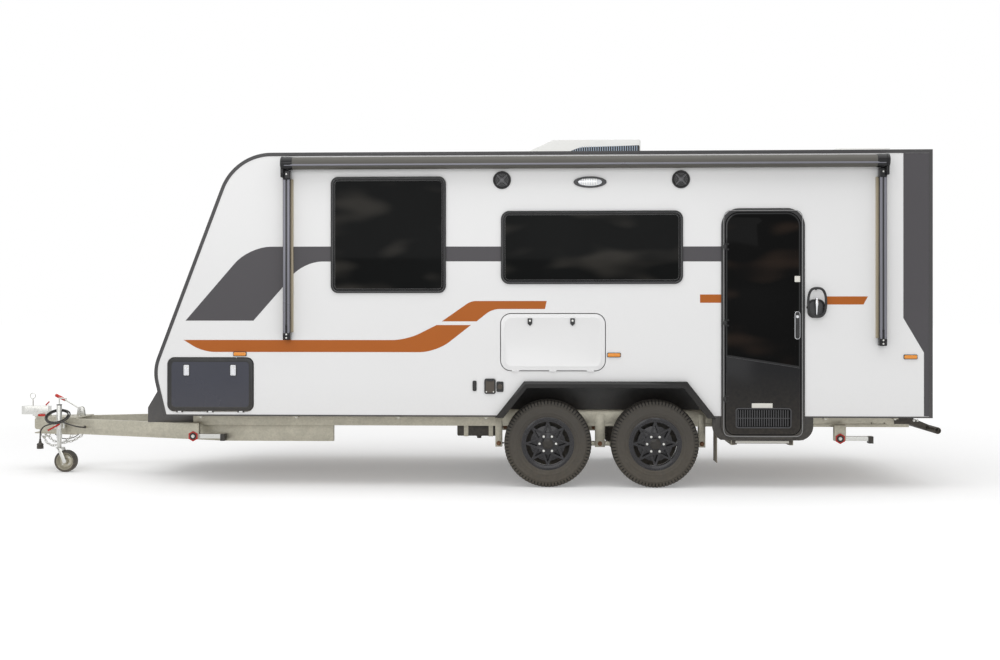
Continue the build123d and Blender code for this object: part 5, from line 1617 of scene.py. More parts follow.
class CARAVAN_OT_grab_handle(bpy.types.Operator):
    """Grab handle beside the door, with its recess and lever"""

    bl_idname = "caravan.grab_handle"
    bl_label = "Grab handle"

    def execute(self, context):
        parts = []
        path = []
        for place in range(28):
            turn = math.tau * place / 28
            c, s = math.cos(turn), math.sin(turn)
            path.append((
                3.107 + 0.0735 * math.copysign(abs(c) ** 0.72, c), -1.2285,
                1.571 + 0.1205 * math.copysign(abs(s) ** 0.78, s),
            ))
        parts.append(coated(ringed(path, 0.0105, 5), black_moulding()))
        for x, z in ((3.107, 1.688), (3.040, 1.530), (3.174, 1.530), (3.107, 1.4545)):
            foot = turned(
                (x, -1.1795, z), (0, -1, 0), [(0, 0.0125), (0.004, 0.0125), (0.010, 0.0085), (0.046, 0.0080)],
                20,
            )
            parts.append(coated(foot, black_moulding()))
        shell = plate(
            (3.107, 1.520), (0.144, 0.156), 0.050, on_wall(-1), outward(-1, 0.014), 0.003,
            [(0.008, 0.0, 0), (0.006, 0.008, 1)],
        )
        parts.append(coated(shell, black_moulding(), frame_bevel()))
        lever = turned((3.107, -1.210, 1.462), (0, -0.05, 1), [
            (0, 0.004), (0.006, 0.0065), (0.030, 0.0070), (0.070, 0.0105), (0.100, 0.0155), (0.118, 0.0150),
            (0.126, 0.0105), (0.130, 0.0085), (0.134, 0.0110), (0.142, 0.0125), (0.150, 0.0105),
            (0.155, 0.0050),
        ], 28)
        parts.append(coated(lever, chrome()))
        placed(joined(parts), "grab_handle_ring", "root", slot="black_plastic", replaces=["grab_handle"])
        return {"FINISHED"}


class CARAVAN_OT_awning(bpy.types.Operator):
    """Rolled awning, its arms and their channels"""

    bl_idname = "caravan.awning"
    bl_label = "Awning"

    def execute(self, context):
        y, z = AWNING_Y, AWNING_Z
        roll = turned(
            (-1.378, y, z), (1, 0, 0), [(0, 0.030), (0, 0.0525), (5.045, 0.0525), (5.045, 0.030)], 48,
        )
        parts = [coated(roll, awning_cloth())]
        hem = block((-1.372, y + 0.006, z + 0.040), (3.661, y + 0.034, z + 0.0535), 0.003, 3)
        parts.append(coated(hem, awning_grey_and_highlight()))
        front_rail = block((-1.372, y - 0.0535, z - 0.026), (3.661, y - 0.040, z - 0.010), 0.004, 3)
        parts.append(coated(front_rail, awning_grey_and_highlight()))
        placed(joined(parts), "awning_roll", "root", slot="black_plastic", replaces=["awning_roller"])

        parts = []
        top = z - 0.059
        for x, foot, inward in ((-1.3605, 1.254, 1), (3.6495, 1.208, -1)):
            cap = x - inward * 0.0445
            main = block((x - 0.031, -1.2465, foot + 0.055), (x + 0.031, -1.213, top - 0.07), 0.004, 3)
            parts.append(coated(main, black_moulding()))
            # The ridges are lighter grey than the black body between them: painted highlights on the ridges
            # and painted shade in the gap.
            for dx in (-0.0175, 0.0175):
                highlight_ridge = block(
                    (x + dx - 0.0105, -1.2498, foot + 0.055), (x + dx + 0.0105, -1.244, top - 0.07), 0.0028,
                    3,
                )
                parts.append(coated(highlight_ridge, awning_grey_and_highlight()))
            rail = block((x - 0.0215, -1.2035, foot + 0.02), (x + 0.0215, -WALL_Y, top - 0.02), 0.003, 2)
            parts.append(coated(rail, channel_paint()))
            lip = block(
                (x + inward * 0.0215, -1.2005, foot + 0.065), (x + inward * 0.0480, -1.1805, top - 0.07),
                0.002, 2,
            )
            parts.append(coated(lip, channel_paint()))
            for low, high in ((foot, foot + 0.066), (top - 0.085, top)):
                casting = block((x - 0.0315, -1.2498, low), (x + 0.0315, -1.181, high), 0.007, 4)
                parts.append(coated(casting, gloss_black()))
            toe = sheet(
                [
                    (x - 0.0305, foot + 0.05, 0), (x + 0.0305, foot + 0.05, 0),
                    (x + 0.017, foot + 0.135, 0.008), (x - 0.017, foot + 0.135, 0.008),
                ],
                upright(-1.2475), outward(-1, 0.0022), 0.0008,
            )
            parts.append(coated(toe, gloss_black()))
            start = min(cap, cap + inward * 0.026)
            disc = turned((start, y, z), (1, 0, 0), [
                (0, 0.038), (0, 0.050), (0.005, 0.0585), (0.021, 0.0590), (0.0255, 0.0565), (0.0255, 0.030),
            ], 48)
            parts.append(coated(disc, gloss_black()))
            sleeve = turned((cap + inward * 0.024, y, z), (inward, 0, 0), [
                (0, 0.040), (0, 0.0568), (0.062, 0.0568), (0.072, 0.0552), (0.076, 0.0552), (0.078, 0.0535),
                (0.078, 0.040),
            ], 48)
            parts.append(coated(sleeve, gloss_black()))
            boss = turned(
                (cap - inward * 0.0002, y, z), (inward, 0, 0), [(0, 0.020), (0.0008, 0.022), (0.004, 0.022)],
                24,
            )
            parts.append(coated(boss, zinc_plate()))
            neck = block((start, -1.281, top - 0.060), (start + 0.0255, -1.1815, z), 0.006, 3)
            parts.append(coated(neck, gloss_black()))
            for height in (foot + 0.018, foot + 0.047, top - 0.03):
                parts.append(hexagon((x, -1.2495, height), (0, -1, 0), 0.0058, 0.0035, zinc_plate()))
        placed(joined(parts), "awning_arm_castings", "root", slot="black_plastic", replaces=["awning_arms"])
        return {"FINISHED"}


class CARAVAN_OT_roof(bpy.types.Operator):
    """Roof cooler with its grilles, and the roof hatch"""

    bl_idname = "caravan.roof"
    bl_label = "Roof fittings"

    def execute(self, context):
        eased("air_conditioner", white_shroud(), 0.006, 30.0)
        parts = []
        for sign in SIDES.values():
            # A black sheet behind the fins: painted shade inside the cooler's side opening.
            shade_behind_fins = sheet(
                [
                    (0.985, 2.862, 0.012), (1.688, 2.862, 0.012), (1.688, 3.008, 0.012),
                    (1.140, 2.990, 0.040), (1.030, 2.945, 0.040),
                ],
                upright(sign * COOLER_Y), outward(sign, 0.0024), 0.0008,
            )
            parts.append(coated(shade_behind_fins, black_moulding()))
            for place in range(30):
                along = place * 0.0206
                x = 1.062 + along
                high = 2.955 + min(0.042, along * 0.45) + along * 0.011
                fin = block(
                    (x, sign * (COOLER_Y + 0.0015), 2.872), (x + 0.0065, sign * (COOLER_Y + 0.0055), high),
                    0.0006, 1,
                )
                parts.append(coated(fin, fin_paint()))
            for height in (2.895, 2.935):
                rail = block(
                    (1.045, sign * (COOLER_Y + 0.0025), height),
                    (1.680, sign * (COOLER_Y + 0.0065), height + 0.005), 0.0008, 1,
                )
                parts.append(coated(rail, fin_paint()))
            seam = block(
                (0.62, sign * (COOLER_Y - 0.0005), 2.868), (0.975, sign * (COOLER_Y + 0.0025), 2.876), 0.001,
                2,
            )
            parts.append(coated(seam, black_moulding()))
            for x in (0.70, 0.90):
                parts.append(
                    hexagon((x, sign * (COOLER_Y + 0.0015), 2.895), (0, sign, 0), 0.006, 0.003, zinc_plate())
                )
        thin = Vector((0, 0, 0.0005))
        for x in (1.12, 1.36):
            slot = plate(
                (x, 0.0), (0.17, 0.50), 0.03, on_top(COOLER_TOP_Z - 0.0005), thin, 0.0002,
                [(0.006, 0.0, 0), (0.003, 0.0003, 0)],
            )
            parts.append(coated(slot, black_moulding()))
        placed(joined(parts), "cooler_grilles", "root", slot="white_plastic")

        eased("roof_hatch_lid", white_shroud(), 0.008, 30.0)
        x = HATCH_X
        parts = []
        dome = plate(
            (x, 0.0), (0.43, 0.43), 0.05, on_top(HATCH_TOP_Z - 0.0005), thin, 0.0002,
            [(0.012, 0.0, 0), (0.006, 0.0003, 0)],
        )
        parts.append(coated(dome, white_shroud()))
        for y in (-0.12, 0.0, 0.12):
            rib = block(
                (x - 0.15, y - 0.008, HATCH_TOP_Z - 0.0010), (x + 0.15, y + 0.008, HATCH_TOP_Z + 0.0005),
                0.0006, 1,
            )
            parts.append(coated(rib, white_shroud()))
        placed(joined(parts), "hatch_ribs", "roof_hatch_lid", slot="white_plastic")
        outer_r, inner_r = 0.256 * 1.43, 0.256 * 1.38
        band = hoop(
            (x, 0, ROOF_Z + 0.0005), (0, 0, 1),
            [(0, outer_r), (0.0015, outer_r), (0.0015, inner_r), (0, inner_r)], 4,
        )
        band.data.transform(about((x, 0, 0), Matrix.Rotation(math.radians(45), 4, "Z")))
        placed(band, "hatch_sealant", "root", channel_paint(), slot="roof_skin")
        return {"FINISHED"}


class CARAVAN_OT_tyres(bpy.types.Operator):
    """Tyres with grooves, shoulder blocks and ribbed sidewalls"""

    bl_idname = "caravan.tyres"
    bl_label = "Tyres"

    def execute(self, context):
        centre = Vector((0, 0, 0))
        depth = sizes().tread_depth
        tread_r = TYRE_R - 0.0005
        wall = [
            (0.1000, 0.2120), (0.1045, 0.2290), (0.1105, 0.2350), (0.1130, 0.2400), (0.1120, 0.2420),
            (0.1155, 0.2600), (0.1168, 0.2620), (0.1158, 0.2640), (0.1172, 0.2860), (0.1175, 0.2900),
            (0.1163, 0.2925), (0.1170, 0.3000), (0.1158, 0.3180), (0.1160, 0.3205), (0.1148, 0.3225),
            (0.1120, 0.3300), (0.1055, 0.3370), (0.1000, tread_r - 0.024), (0.0940, tread_r - 0.0150),
            (0.0860, tread_r - 0.0075),
        ]
        rounds = []
        for middle, width in ((0.061, 0.009), (0.022, 0.010)):
            rounds += [
                (middle + width / 2, tread_r - 0.003 * (middle / 0.06)),
                (middle + width / 4, tread_r - depth),
                (middle - width / 4, tread_r - depth),
                (middle - width / 2, tread_r - 0.002 * (middle / 0.06)),
            ]
        outer = wall + rounds
        section = outer + [(-along, radius) for along, radius in reversed(outer)]
        tyre = hoop(centre, (0, 1, 0), section, 120)
        coated(tyre, tyre_rubber())
        # The tread's base between the blocks is darker: painted shade in the grooves.
        recoated(tyre, lambda spot: math.hypot(spot.x, spot.z) > tread_r - 0.036, groove_shade_rubber())
        blocks = []
        count = sizes().tread_blocks
        for end in (-1, 1):
            lug = block((-0.0105, end * 0.0680, tread_r - 0.010), (0.0105, end * 0.1000, tread_r), 0.0012, 1)
            for vertex in lug.data.vertices:
                reach = max(0.0, abs(vertex.co.y) - 0.068) / 0.032
                vertex.co.z -= 0.0130 * reach ** 1.6
            wing = block(
                (-0.0090, end * 0.0900, tread_r - 0.043), (0.0090, end * 0.1145, tread_r - 0.011), 0.0012, 1,
            )
            for vertex in wing.data.vertices:
                reach = (tread_r - 0.011 - vertex.co.z) / 0.032
                if abs(vertex.co.y) > 0.105 and reach < 0.2:
                    vertex.co.y -= end * 0.0085
            row = coated(joined([lug, wing]), tyre_rubber())
            for place in range(count):
                turn = Matrix.Rotation(math.tau * (place + 0.5 * (end > 0)) / count, 4, "Y")
                blocks.append(copied(row, turn))
            bpy.data.objects.remove(row)
        for middle in (0.0, 0.0405, -0.0405):
            rib = block(
                (-0.0085, middle - 0.0135, tread_r - 0.006), (0.0085, middle + 0.0135, tread_r + 0.0003),
                0.0008, 1,
            )
            coated(rib, tyre_rubber())
            for place in range(count):
                turn = Matrix.Rotation(math.tau * (place + middle * 9) / count, 4, "Y")
                blocks.append(copied(rib, turn))
            bpy.data.objects.remove(rib)
        whole = joined([tyre] + blocks)
        for end, x in AXLE_XS.items():
            for side, sign in SIDES.items():
                name = f"tyre_{end}_{side}"
                move = Matrix.Translation((x, sign * TYRE_Y, TYRE_R)) @ Matrix.Scale(sign, 4, (0, 1, 0))
                piece = copied(whole, move)
                placed(piece, f"{name}_tread", BODY_OF[name], slot="tyre_rubber", replaces=[name])
        bpy.data.objects.remove(whole)
        return {"FINISHED"}


class CARAVAN_OT_wheels(bpy.types.Operator):
    """Painted wheels with their caps, nuts and valves"""

    bl_idname = "caravan.wheels"
    bl_label = "Wheels"

    def execute(self, context):
        for end, x in AXLE_XS.items():
            for side, sign in SIDES.items():
                name = f"wheel_{end}_{side}"
                body = BODY_OF[name]
                eased(name, painted_alloy(), 0.0022)
                face_y = sign * (TYRE_Y + 0.090)
                out = (0, sign, 0)
                parts = []
                cap = turned((x, face_y + sign * 0.0185, TYRE_R), out, [
                    (0, 0.0455), (0.003, 0.0455), (0.0055, 0.0430), (0.0065, 0.0385), (0.0055, 0.0360),
                    (0.0062, 0.0345), (0.0075, 0.020),
                ], 48)
                parts.append(coated(cap, gloss_black()))
                for place in range(WHEEL_NUTS):
                    turn = math.tau * place / WHEEL_NUTS
                    dx, dz = NUT_CIRCLE_R * math.cos(turn), NUT_CIRCLE_R * math.sin(turn)
                    spot = (x + dx, face_y - sign * 0.0005, TYRE_R + dz)
                    nut = turned(spot, out, [(0, 0.0145), (0.003, 0.0145), (0.004, 0.0122)], 24)
                    head = turned(
                        spot, out, [(0.003, 0.0118), (0.0165, 0.0118), (0.019, 0.0100), (0.0200, 0.0055)], 6,
                    )
                    parts += [coated(nut, gloss_black()), coated(head, zinc_plate())]
                rim = hoop((x, sign * (TYRE_Y + 0.0965), TYRE_R), out, [
                    (0, 0.2105), (0.0025, 0.2120), (0.0040, 0.2150), (0.0030, 0.2185), (0, 0.2195),
                ], 96)
                parts.append(coated(rim, painted_alloy()))
                valve = bar([
                    (x + 0.16, face_y - sign * 0.035, TYRE_R - 0.100),
                    (x + 0.155, face_y - sign * 0.010, TYRE_R - 0.097),
                    (x + 0.150, face_y + sign * 0.004, TYRE_R - 0.094),
                ], 0.0042, True)
                parts.append(coated(valve, black_moulding()))
                top = TYRE_R + 0.2045
                weight = block(
                    (x - 0.022, face_y - sign * 0.003, top - 0.004),
                    (x + 0.022, face_y + sign * 0.002, top + 0.004),
                    0.0015,
                )
                parts.append(coated(weight, zinc_plate()))
                placed(joined(parts), f"{name}_nuts", body, slot="alloy_black")
        return {"FINISHED"}


class CARAVAN_OT_running_gear(bpy.types.Operator):
    """Axles, leaf springs with their clamps and bolts, and rockers"""

    bl_idname = "caravan.running_gear"
    bl_label = "Running gear"

    def execute(self, context):
        eased("axles", black_steel(), 0.002)
        eased("leaf_springs", black_steel(), 0.001)
        eased("spring_rockers", galvanised(), 0.001)
        parts = []
        for sign in SIDES.values():
            for x in AXLE_XS.values():
                for dx in (-0.034, 0.034):
                    for dy in (-0.028, 0.028):
                        y = sign * SPRING_Y + dy
                        rod = bar([(x + dx, y, 0.285), (x + dx, y, 0.4045)], 0.0055)
                        parts.append(coated(rod, zinc_plate()))
                        parts.append(hexagon((x + dx, y, 0.2995), (0, 0, -1), 0.0095, 0.009, zinc_plate()))
                    hoop_bar = bar([
                        (x + dx, sign * SPRING_Y - 0.028, 0.3995), (x + dx, sign * SPRING_Y - 0.022, 0.4035),
                        (x + dx, sign * SPRING_Y + 0.022, 0.4035), (x + dx, sign * SPRING_Y + 0.028, 0.3995),
                    ], 0.0055)
                    parts.append(coated(hoop_bar, zinc_plate()))
                plate_y = sign * (TYRE_Y - 0.062)
                shield = turned(
                    (x, plate_y, TYRE_R), (0, -sign, 0),
                    [(0, 0.196), (0.003, 0.198), (0.006, 0.192), (0.006, 0.120), (0.016, 0.112)], 64,
                )
                parts.append(coated(shield, black_steel()))
                saddle = block(
                    (x - 0.046, sign * SPRING_Y - 0.036, 0.2995),
                    (x + 0.046, sign * SPRING_Y + 0.036, 0.3070), 0.002, 2,
                )
                parts.append(coated(saddle, galvanised()))
            for x in (0.427, 1.312, 2.197):
                for end in (1, -1):
                    spot = (x, sign * (SPRING_Y + end * 0.0335), 0.3435)
                    parts.append(hexagon(spot, (0, sign * end, 0), 0.0165, 0.0125, rusty_bolt()))
        placed(joined(parts), "spring_clamps", "root", slot="axle_black")
        return {"FINISHED"}


class CARAVAN_OT_chassis(bpy.types.Operator):
    """Galvanised chassis, outriggers and drawbar, with bolt heads"""

    bl_idname = "caravan.chassis"
    bl_label = "Chassis"

    def execute(self, context):
        for name in ("chassis_frame", "chassis_outriggers", "drawbar"):
            eased(name, galvanised(), 0.002)
        parts = []
        for sign in SIDES.values():
            for x in (-2.130, -1.300, -0.420, 0.330, 3.200, 3.780):
                parts.append(hexagon((x, sign * 1.120, 0.5895), (0, 0, -1), 0.010, 0.008, zinc_plate()))
            for x in (-3.93, -3.83, -3.70, -3.60):
                y = sign * min(0.045, 0.030 + 0.012 * (x + 3.93) * 10)
                parts.append(hexagon((x, y, 0.5048), (0, 0, 1), 0.010, 0.008, zinc_plate()))
        placed(joined(parts), "chassis_bolts", "root", slot="galvanised")
        return {"FINISHED"}


class CARAVAN_OT_coupling(bpy.types.Operator):
    """Coupling head, handbrake, and the chains and shackle under the drawbar's head"""

    bl_idname = "caravan.coupling"
    bl_label = "Coupling and handbrake"

    def execute(self, context):
        eased("coupling", zinc_plate(), sizes().edge)
        eased("handbrake", zinc_plate(), sizes().plate_edge)
        parts = []
        along = Vector((-3.846, 0, 0.702)) - Vector((-3.750, 0, 0.655))
        start = Vector((-3.753, 0, 0.6565))
        cover = turned(start, along, [
            (0, 0.0110), (0.003, 0.0153), (0.012, 0.0158), (0.018, 0.0150), (0.030, 0.0156), (0.042, 0.0150),
            (0.054, 0.0156), (0.066, 0.0150), (0.078, 0.0157), (0.100, 0.0156), (0.108, 0.0130),
            (0.111, 0.006),
        ], 32)
        parts.append(coated(cover, red_plastic()))
        for sign in SIDES.values():
            cheek = sheet(
                [
                    (-3.640, 0.500, 0), (-3.560, 0.500, 0), (-3.574, 0.585, 0.010), (-3.602, 0.600, 0.012),
                    (-3.628, 0.585, 0.010),
                ],
                upright(sign * 0.0145), outward(sign, 0.004), 0.001,
            )
            parts.append(coated(cheek, zinc_plate()))
            parts.append(hexagon((-3.600, sign * 0.0185, 0.566), (0, sign, 0), 0.009, 0.006, zinc_plate()))
        trigger = bar([(-3.910, 0, 0.640), (-3.945, 0, 0.606)], 0.0065)
        parts.append(coated(trigger, red_plastic()))
        wire = bar([(-3.927, 0, 0.623), (-3.912, -0.004, 0.600), (-3.905, 0.0, 0.572)], 0.0022, True)
        parts.append(coated(wire, zinc_plate()))
        for sign in SIDES.values():
            y = sign * 0.043
            boss = turned((-4.022, y, 0.562), (0, sign, 0), [
                (0, 0.020), (0.003, 0.020), (0.005, 0.016), (0.0052, 0.008),
            ], 28)
            parts.append(coated(boss, zinc_plate()))
            for x in (-3.950, -3.918):
                parts.append(hexagon((x, y, 0.545), (0, sign, 0), 0.0085, 0.0062, zinc_plate()))
        for y in (-0.060, 0.060):
            pad = block((-3.994, y - 0.004, 0.481), (-3.929, y + 0.004, 0.524), 0.0015)
            parts.append(coated(pad, red_plastic()))
        for sign in SIDES.values():
            shackle = bar([(x, sign * 0.045, z) for x, z in (
                (-3.955, 0.352), (-3.973, 0.335), (-3.968, 0.312), (-3.945, 0.302), (-3.922, 0.312),
                (-3.917, 0.335), (-3.935, 0.352),
            )], 0.0062, True)
            parts.append(coated(shackle, zinc_plate()))
            route = [
                (-3.940, sign * 0.050, 0.304), (-3.900, sign * 0.085, 0.255), (-3.830, sign * 0.125, 0.232),
                (-3.740, sign * 0.150, 0.250), (-3.660, sign * 0.168, 0.300), (-3.615, sign * 0.170, 0.345),
            ]
            parts.append(coated(chained(route), zinc_plate()))
        cable = bar([
            (-3.860, -0.012, 0.345), (-3.820, -0.020, 0.300), (-3.740, -0.010, 0.282), (-3.660, 0.0, 0.300),
            (-3.600, 0.0, 0.350), (-3.560, 0.0, 0.400),
        ], 0.0042, True)
        parts.append(coated(cable, black_moulding()))
        placed(joined(parts), "coupling_details", "root", slot="zinc_cast")
        return {"FINISHED"}


class CARAVAN_OT_jockey(bpy.types.Operator):
    """Jockey wheel: clamp, post, crank, leg, fork and wheel"""

    bl_idname = "caravan.jockey"
    bl_label = "Jockey wheel"

    def execute(self, context):
        for name in ("jockey_clamp", "jockey_leg", "jockey_fork"):
            eased(name, zinc_plate(), sizes().plate_edge)
        parts = []
        handle = bar(
            [
                (-3.694, POST_Y - 0.050, 0.452), (-3.740, POST_Y - 0.062, 0.424),
                (-3.800, POST_Y - 0.064, 0.392),
            ],
            0.0085, True,
        )
        parts.append(coated(handle, red_plastic()))
        screw = turned(
            (-3.694, POST_Y - 0.030, 0.452), (0, -1, 0), [(0, 0.011), (0.022, 0.011), (0.024, 0.008)], 24,
        )
        parts.append(coated(screw, zinc_plate()))
        for z in (0.409, 0.471):
            ring = hoop(
                (POST_X, POST_Y, z - 0.003), (0, 0, 1),
                [(0, 0.0365), (0.006, 0.0365), (0.006, 0.0345), (0, 0.0345)], 40,
            )
            parts.append(coated(ring, zinc_plate()))
        cap = hoop(
            (POST_X, POST_Y, 0.6235), (0, 0, 1),
            [(0, 0.0262), (0.006, 0.0262), (0.0075, 0.0235), (0.0075, 0.010), (0, 0.010)], 40,
        )
        parts.append(coated(cap, black_moulding()))
        placed(joined(parts), "jockey_clamp_details", "root", slot="galvanised")

        x, z = JOCKEY_AXLE
        out = (0, 1, 0)
        centre = Vector((x, POST_Y, z))
        section = [
            (0.0200, 0.0700), (0.0250, 0.0780), (0.0385, 0.0800), (0.0415, 0.0870), (0.0400, 0.0950),
            (0.0330, 0.1005), (0.0260, 0.1010), (0.0240, 0.0985), (0.0220, 0.1010), (0.0100, 0.1022),
            (0.0085, 0.0998), (0.0070, 0.1022),
        ]
        tyre = hoop(centre, out, section + [(-a, r) for a, r in reversed(section)], 72)
        parts = [coated(tyre, wheel_rubber())]
        rim = hoop(centre, out, [
            (0.0400, 0.0245), (0.0400, 0.0170), (-0.0400, 0.0170), (-0.0400, 0.0245), (-0.0300, 0.0260),
            (-0.0120, 0.0300), (-0.0080, 0.0560), (-0.0220, 0.0700), (-0.0360, 0.0770), (-0.0370, 0.0800),
            (0.0370, 0.0800), (0.0360, 0.0770), (0.0220, 0.0700), (0.0080, 0.0560), (0.0120, 0.0300),
            (0.0300, 0.0260),
        ], 64)
        parts.append(coated(rim, galvanised()))
        for sign in (-1, 1):
            for place in range(4):
                turn = math.tau * (place + 0.5) / 4
                spot = centre + Vector((0.043 * math.cos(turn), sign * 0.0098, 0.043 * math.sin(turn)))
                parts.append(hexagon(spot, (0, sign, 0), 0.0058, 0.0045, zinc_plate()))
        placed(
            joined(parts), "jockey_wheel_tyre", "jockey_wheel", slot="jockey_rubber",
            replaces=["jockey_wheel"],
        )
        return {"FINISHED"}


class CARAVAN_OT_legs(bpy.types.Operator):
    """Corner steadies with their brackets, and the entry step"""

    bl_idname = "caravan.legs"
    bl_label = "Steadies and step"

    def execute(self, context):
        eased("steady_brackets", galvanised(), 0.0012)
        parts = []
        for side, sign in SIDES.items():
            front = eased(f"steady_front_{side}", zinc_plate(), sizes().plate_edge)
            recoated(front, lambda spot: spot.x > -2.055, black_moulding())
            rear = eased(f"steady_rear_{side}", zinc_plate(), sizes().plate_edge)
            recoated(rear, lambda spot: spot.x > 3.583, black_moulding())
            for x in STEADY_XS:
                y = sign * STEADY_FACE_Y
                ring = turned(
                    (x, y, STEADY_PIVOT_Z), (0, sign, 0), [(0, 0.046), (0.005, 0.046), (0.0065, 0.043)], 6,
                )
                parts.append(coated(ring, red_plastic()))
                core = turned((x, y + sign * 0.006, STEADY_PIVOT_Z), (0, sign, 0), [
                    (0, 0.030), (0.004, 0.030), (0.006, 0.027), (0.002, 0.022),
                ])
                parts.append(coated(core, black_moulding()))
                parts.append(
                    hexagon((x, y + sign * 0.007, STEADY_PIVOT_Z), (0, sign, 0), 0.012, 0.009, zinc_plate())
                )
        placed(joined(parts), "steady_bosses", "root", slot="galvanised")

        eased("entry_step", black_steel(), sizes().edge)
        ribs = ribbed((2.452, -1.140, 0.4060), (2.877, -0.890, 0.4082), 20, 0, 0.35)
        nose = block((2.440, -1.1482, 0.3835), (2.889, -1.1462, 0.4045), 0.0006, 1)
        treads = joined([coated(ribs, zinc_plate()), coated(nose, blank_label())])
        placed(treads, "entry_step_ribs", "entry_step", slot="black_paint")
        return {"FINISHED"}


class CARAVAN_OT_arches(bpy.types.Operator):
    """Wheel arches, mud flaps and the water tank with its straps"""

    bl_idname = "caravan.arches"
    bl_label = "Arches, flaps and tank"

    def execute(self, context):
        arches = eased("wheel_arches", gloss_black(), 0.006)
        recoated(arches, lambda spot: abs(spot.y) < WALL_Y - 0.002, black_moulding())
        eased("mud_flaps", flap_rubber(), sizes().plate_edge)
        parts = []
        for sign in SIDES.values():
            for dy in (-0.09, -0.03, 0.03, 0.09):
                y = sign * (1.0365 + dy)
                for x, way in ((2.2885, 1), (2.2815, -1)):
                    parts.append(hexagon((x, y, 0.600), (way, 0, 0), 0.008, 0.005, zinc_plate()))
            y_low, y_high = sorted((sign * 0.932, sign * 1.141))
            bead = block((2.2805, y_low, 0.2162), (2.2895, y_high, 0.226), 0.002, 2)
            parts.append(coated(bead, flap_rubber()))
        placed(joined(parts), "mud_flap_bolts", "root", slot="dark_vinyl")

        eased("water_tank", tank_plastic(), 0.012)
        parts = []
        for x in (0.132, 0.352):
            strap = block((x - 0.020, -STRAP_Y, 0.3905), (x + 0.020, STRAP_Y, TANK_UNDERSIDE), 0.001, 1)
            parts.append(coated(strap, galvanised()))
            for y in (-STRAP_Y, STRAP_Y - 0.003):
                side = block((x - 0.020, y, 0.3905), (x + 0.020, y + 0.003, 0.5440), 0.001, 1)
                parts.append(coated(side, galvanised()))
        for y in (-0.45, -0.15, 0.15, 0.45):
            rib = block((0.080, y - 0.02, 0.3912), (0.404, y + 0.02, TANK_UNDERSIDE), 0.001, 1)
            parts.append(coated(rib, tank_plastic()))
        spout = turned(
            (0.242, -0.60, TANK_UNDERSIDE), (0, 0, -1),
            [(0, 0.026), (0.010, 0.026), (0.012, 0.020), (0.026, 0.020), (0.028, 0.017)], 28,
        )
        parts.append(coated(spout, black_moulding()))
        placed(joined(parts), "water_tank_straps", "root", slot="tank_black")
        return {"FINISHED"}


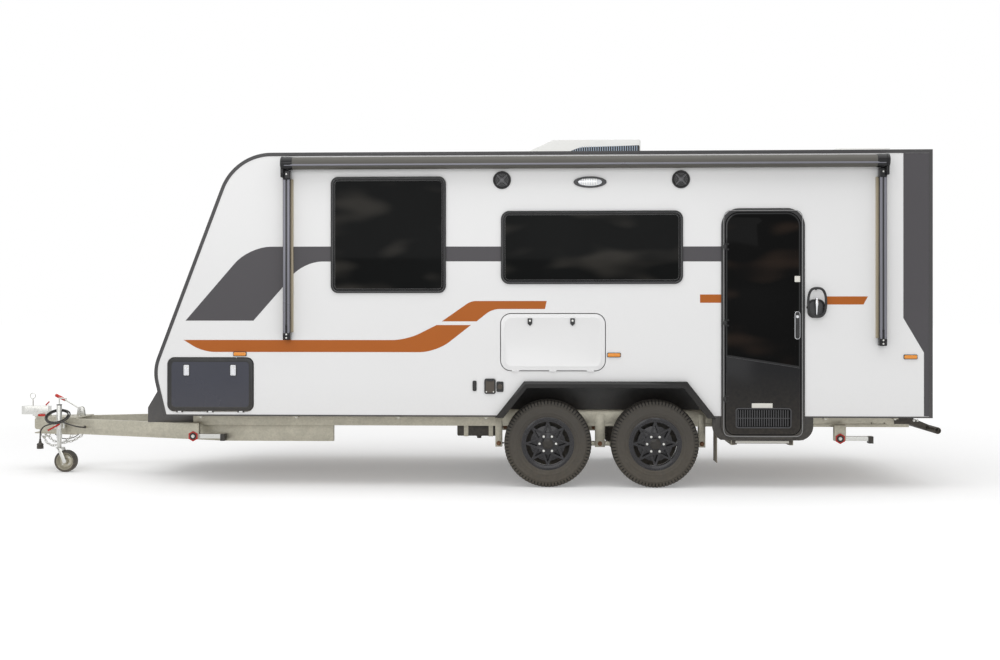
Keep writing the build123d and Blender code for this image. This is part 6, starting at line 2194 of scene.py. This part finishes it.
class CARAVAN_OT_ends(bpy.types.Operator):
    """Rear bumper, and the gas locker with its latches"""

    bl_idname = "caravan.ends"
    bl_label = "Bumper and locker"

    def execute(self, context):
        eased("bumper", black_steel(), sizes().plate_edge)
        parts = []
        for sign in SIDES.values():
            cap = turned(
                (4.147, sign * 1.076, 0.489), (0, sign, 0), [(0, 0.0285), (0.002, 0.0275), (0.004, 0.022)],
            )
            parts.append(coated(cap, black_moulding()))
        for sign in SIDES.values():
            for x in (4.02, 4.05):
                parts.append(hexagon((x, sign * 0.8352, 0.555), (0, sign, 0), 0.009, 0.007, zinc_plate()))
        placed(joined(parts), "bumper_caps", "root", slot="galvanised")

        eased("gas_locker", locker_skin(), 0.004)
        parts = []
        lean = math.atan2(LOCKER_HEAD[1] - LOCKER_FOOT[1], LOCKER_HEAD[0] - LOCKER_FOOT[0])
        across = Vector((math.cos(lean), 0, math.sin(lean)))
        out = Vector((-math.sin(lean), 0, math.cos(lean)))
        foot = Vector((LOCKER_FOOT[0], 0, LOCKER_FOOT[1]))

        def on_slope(lift):
            """Places across and up on the locker's sloping front."""
            return lambda side, up: foot + across * up + Vector((0, side, 0)) + out * lift

        face = on_slope(0.0002)
        lid = plate(
            (0.0, 0.285), (1.02, 0.48), 0.03, face, out * 0.005, 0.001, [(0.012, 0.0, 0), (0.005, 0.002, 0)],
        )
        parts.append(coated(lid, locker_skin()))
        for side in (-0.36, 0.36):
            latch = plate(
                (side, 0.075), (0.050, 0.080), 0.008, on_slope(0.0052), out * 0.006, 0.0015,
                [(0.005, 0.0, 0), (0.002, 0.002, 0)],
            )
            parts.append(coated(latch, chrome()))
        for side in (-0.32, 0.0, 0.32):
            hinge = plate((side, 0.535), (0.120, 0.022), 0.004, face, out * 0.006, 0.001)
            parts.append(coated(hinge, zinc_plate()))
        placed(joined(parts), "gas_locker_lid", "root", slot="locker_grey")
        return {"FINISHED"}


class CARAVAN_PT_panel(bpy.types.Panel):
    """Sidebar panel with the steps of the build"""

    bl_idname = "CARAVAN_PT_panel"
    bl_label = "Travel caravan"
    bl_space_type = "VIEW_3D"
    bl_region_type = "UI"
    bl_category = "Caravan"

    def draw(self, context):
        layout = self.layout
        for group in (context.scene.caravan_sizes, context.scene.caravan_colours):
            box = layout.box()
            for name in group.__annotations__:
                box.prop(group, name)
        for step in STEPS:
            layout.operator(step.bl_idname)


STEPS = (
    CARAVAN_OT_stage, CARAVAN_OT_lead, CARAVAN_OT_shell, CARAVAN_OT_stripes, CARAVAN_OT_windows,
    CARAVAN_OT_door,
    CARAVAN_OT_lids, CARAVAN_OT_wall_fittings, CARAVAN_OT_lamps, CARAVAN_OT_grab_handle, CARAVAN_OT_awning,
    CARAVAN_OT_roof, CARAVAN_OT_tyres, CARAVAN_OT_wheels, CARAVAN_OT_running_gear, CARAVAN_OT_chassis,
    CARAVAN_OT_coupling, CARAVAN_OT_jockey, CARAVAN_OT_legs, CARAVAN_OT_arches, CARAVAN_OT_ends,
)
CLASSES = (CaravanSizes, CaravanColours, *STEPS, CARAVAN_PT_panel)


def register():
    for kind in CLASSES:
        bpy.utils.register_class(kind)
    bpy.types.Scene.caravan_sizes = bpy.props.PointerProperty(type=CaravanSizes)
    bpy.types.Scene.caravan_colours = bpy.props.PointerProperty(type=CaravanColours)


def unregister():
    del bpy.types.Scene.caravan_sizes
    del bpy.types.Scene.caravan_colours
    for kind in reversed(CLASSES):
        bpy.utils.unregister_class(kind)


def main():
    register()
    for step in STEPS:
        group, name = step.bl_idname.split(".")
        result = getattr(getattr(bpy.ops, group), name)()
        if result != {"FINISHED"}:
            raise RuntimeError(f"{step.bl_label} did not finish")
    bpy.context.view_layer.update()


if __name__ == "__main__":
    main()
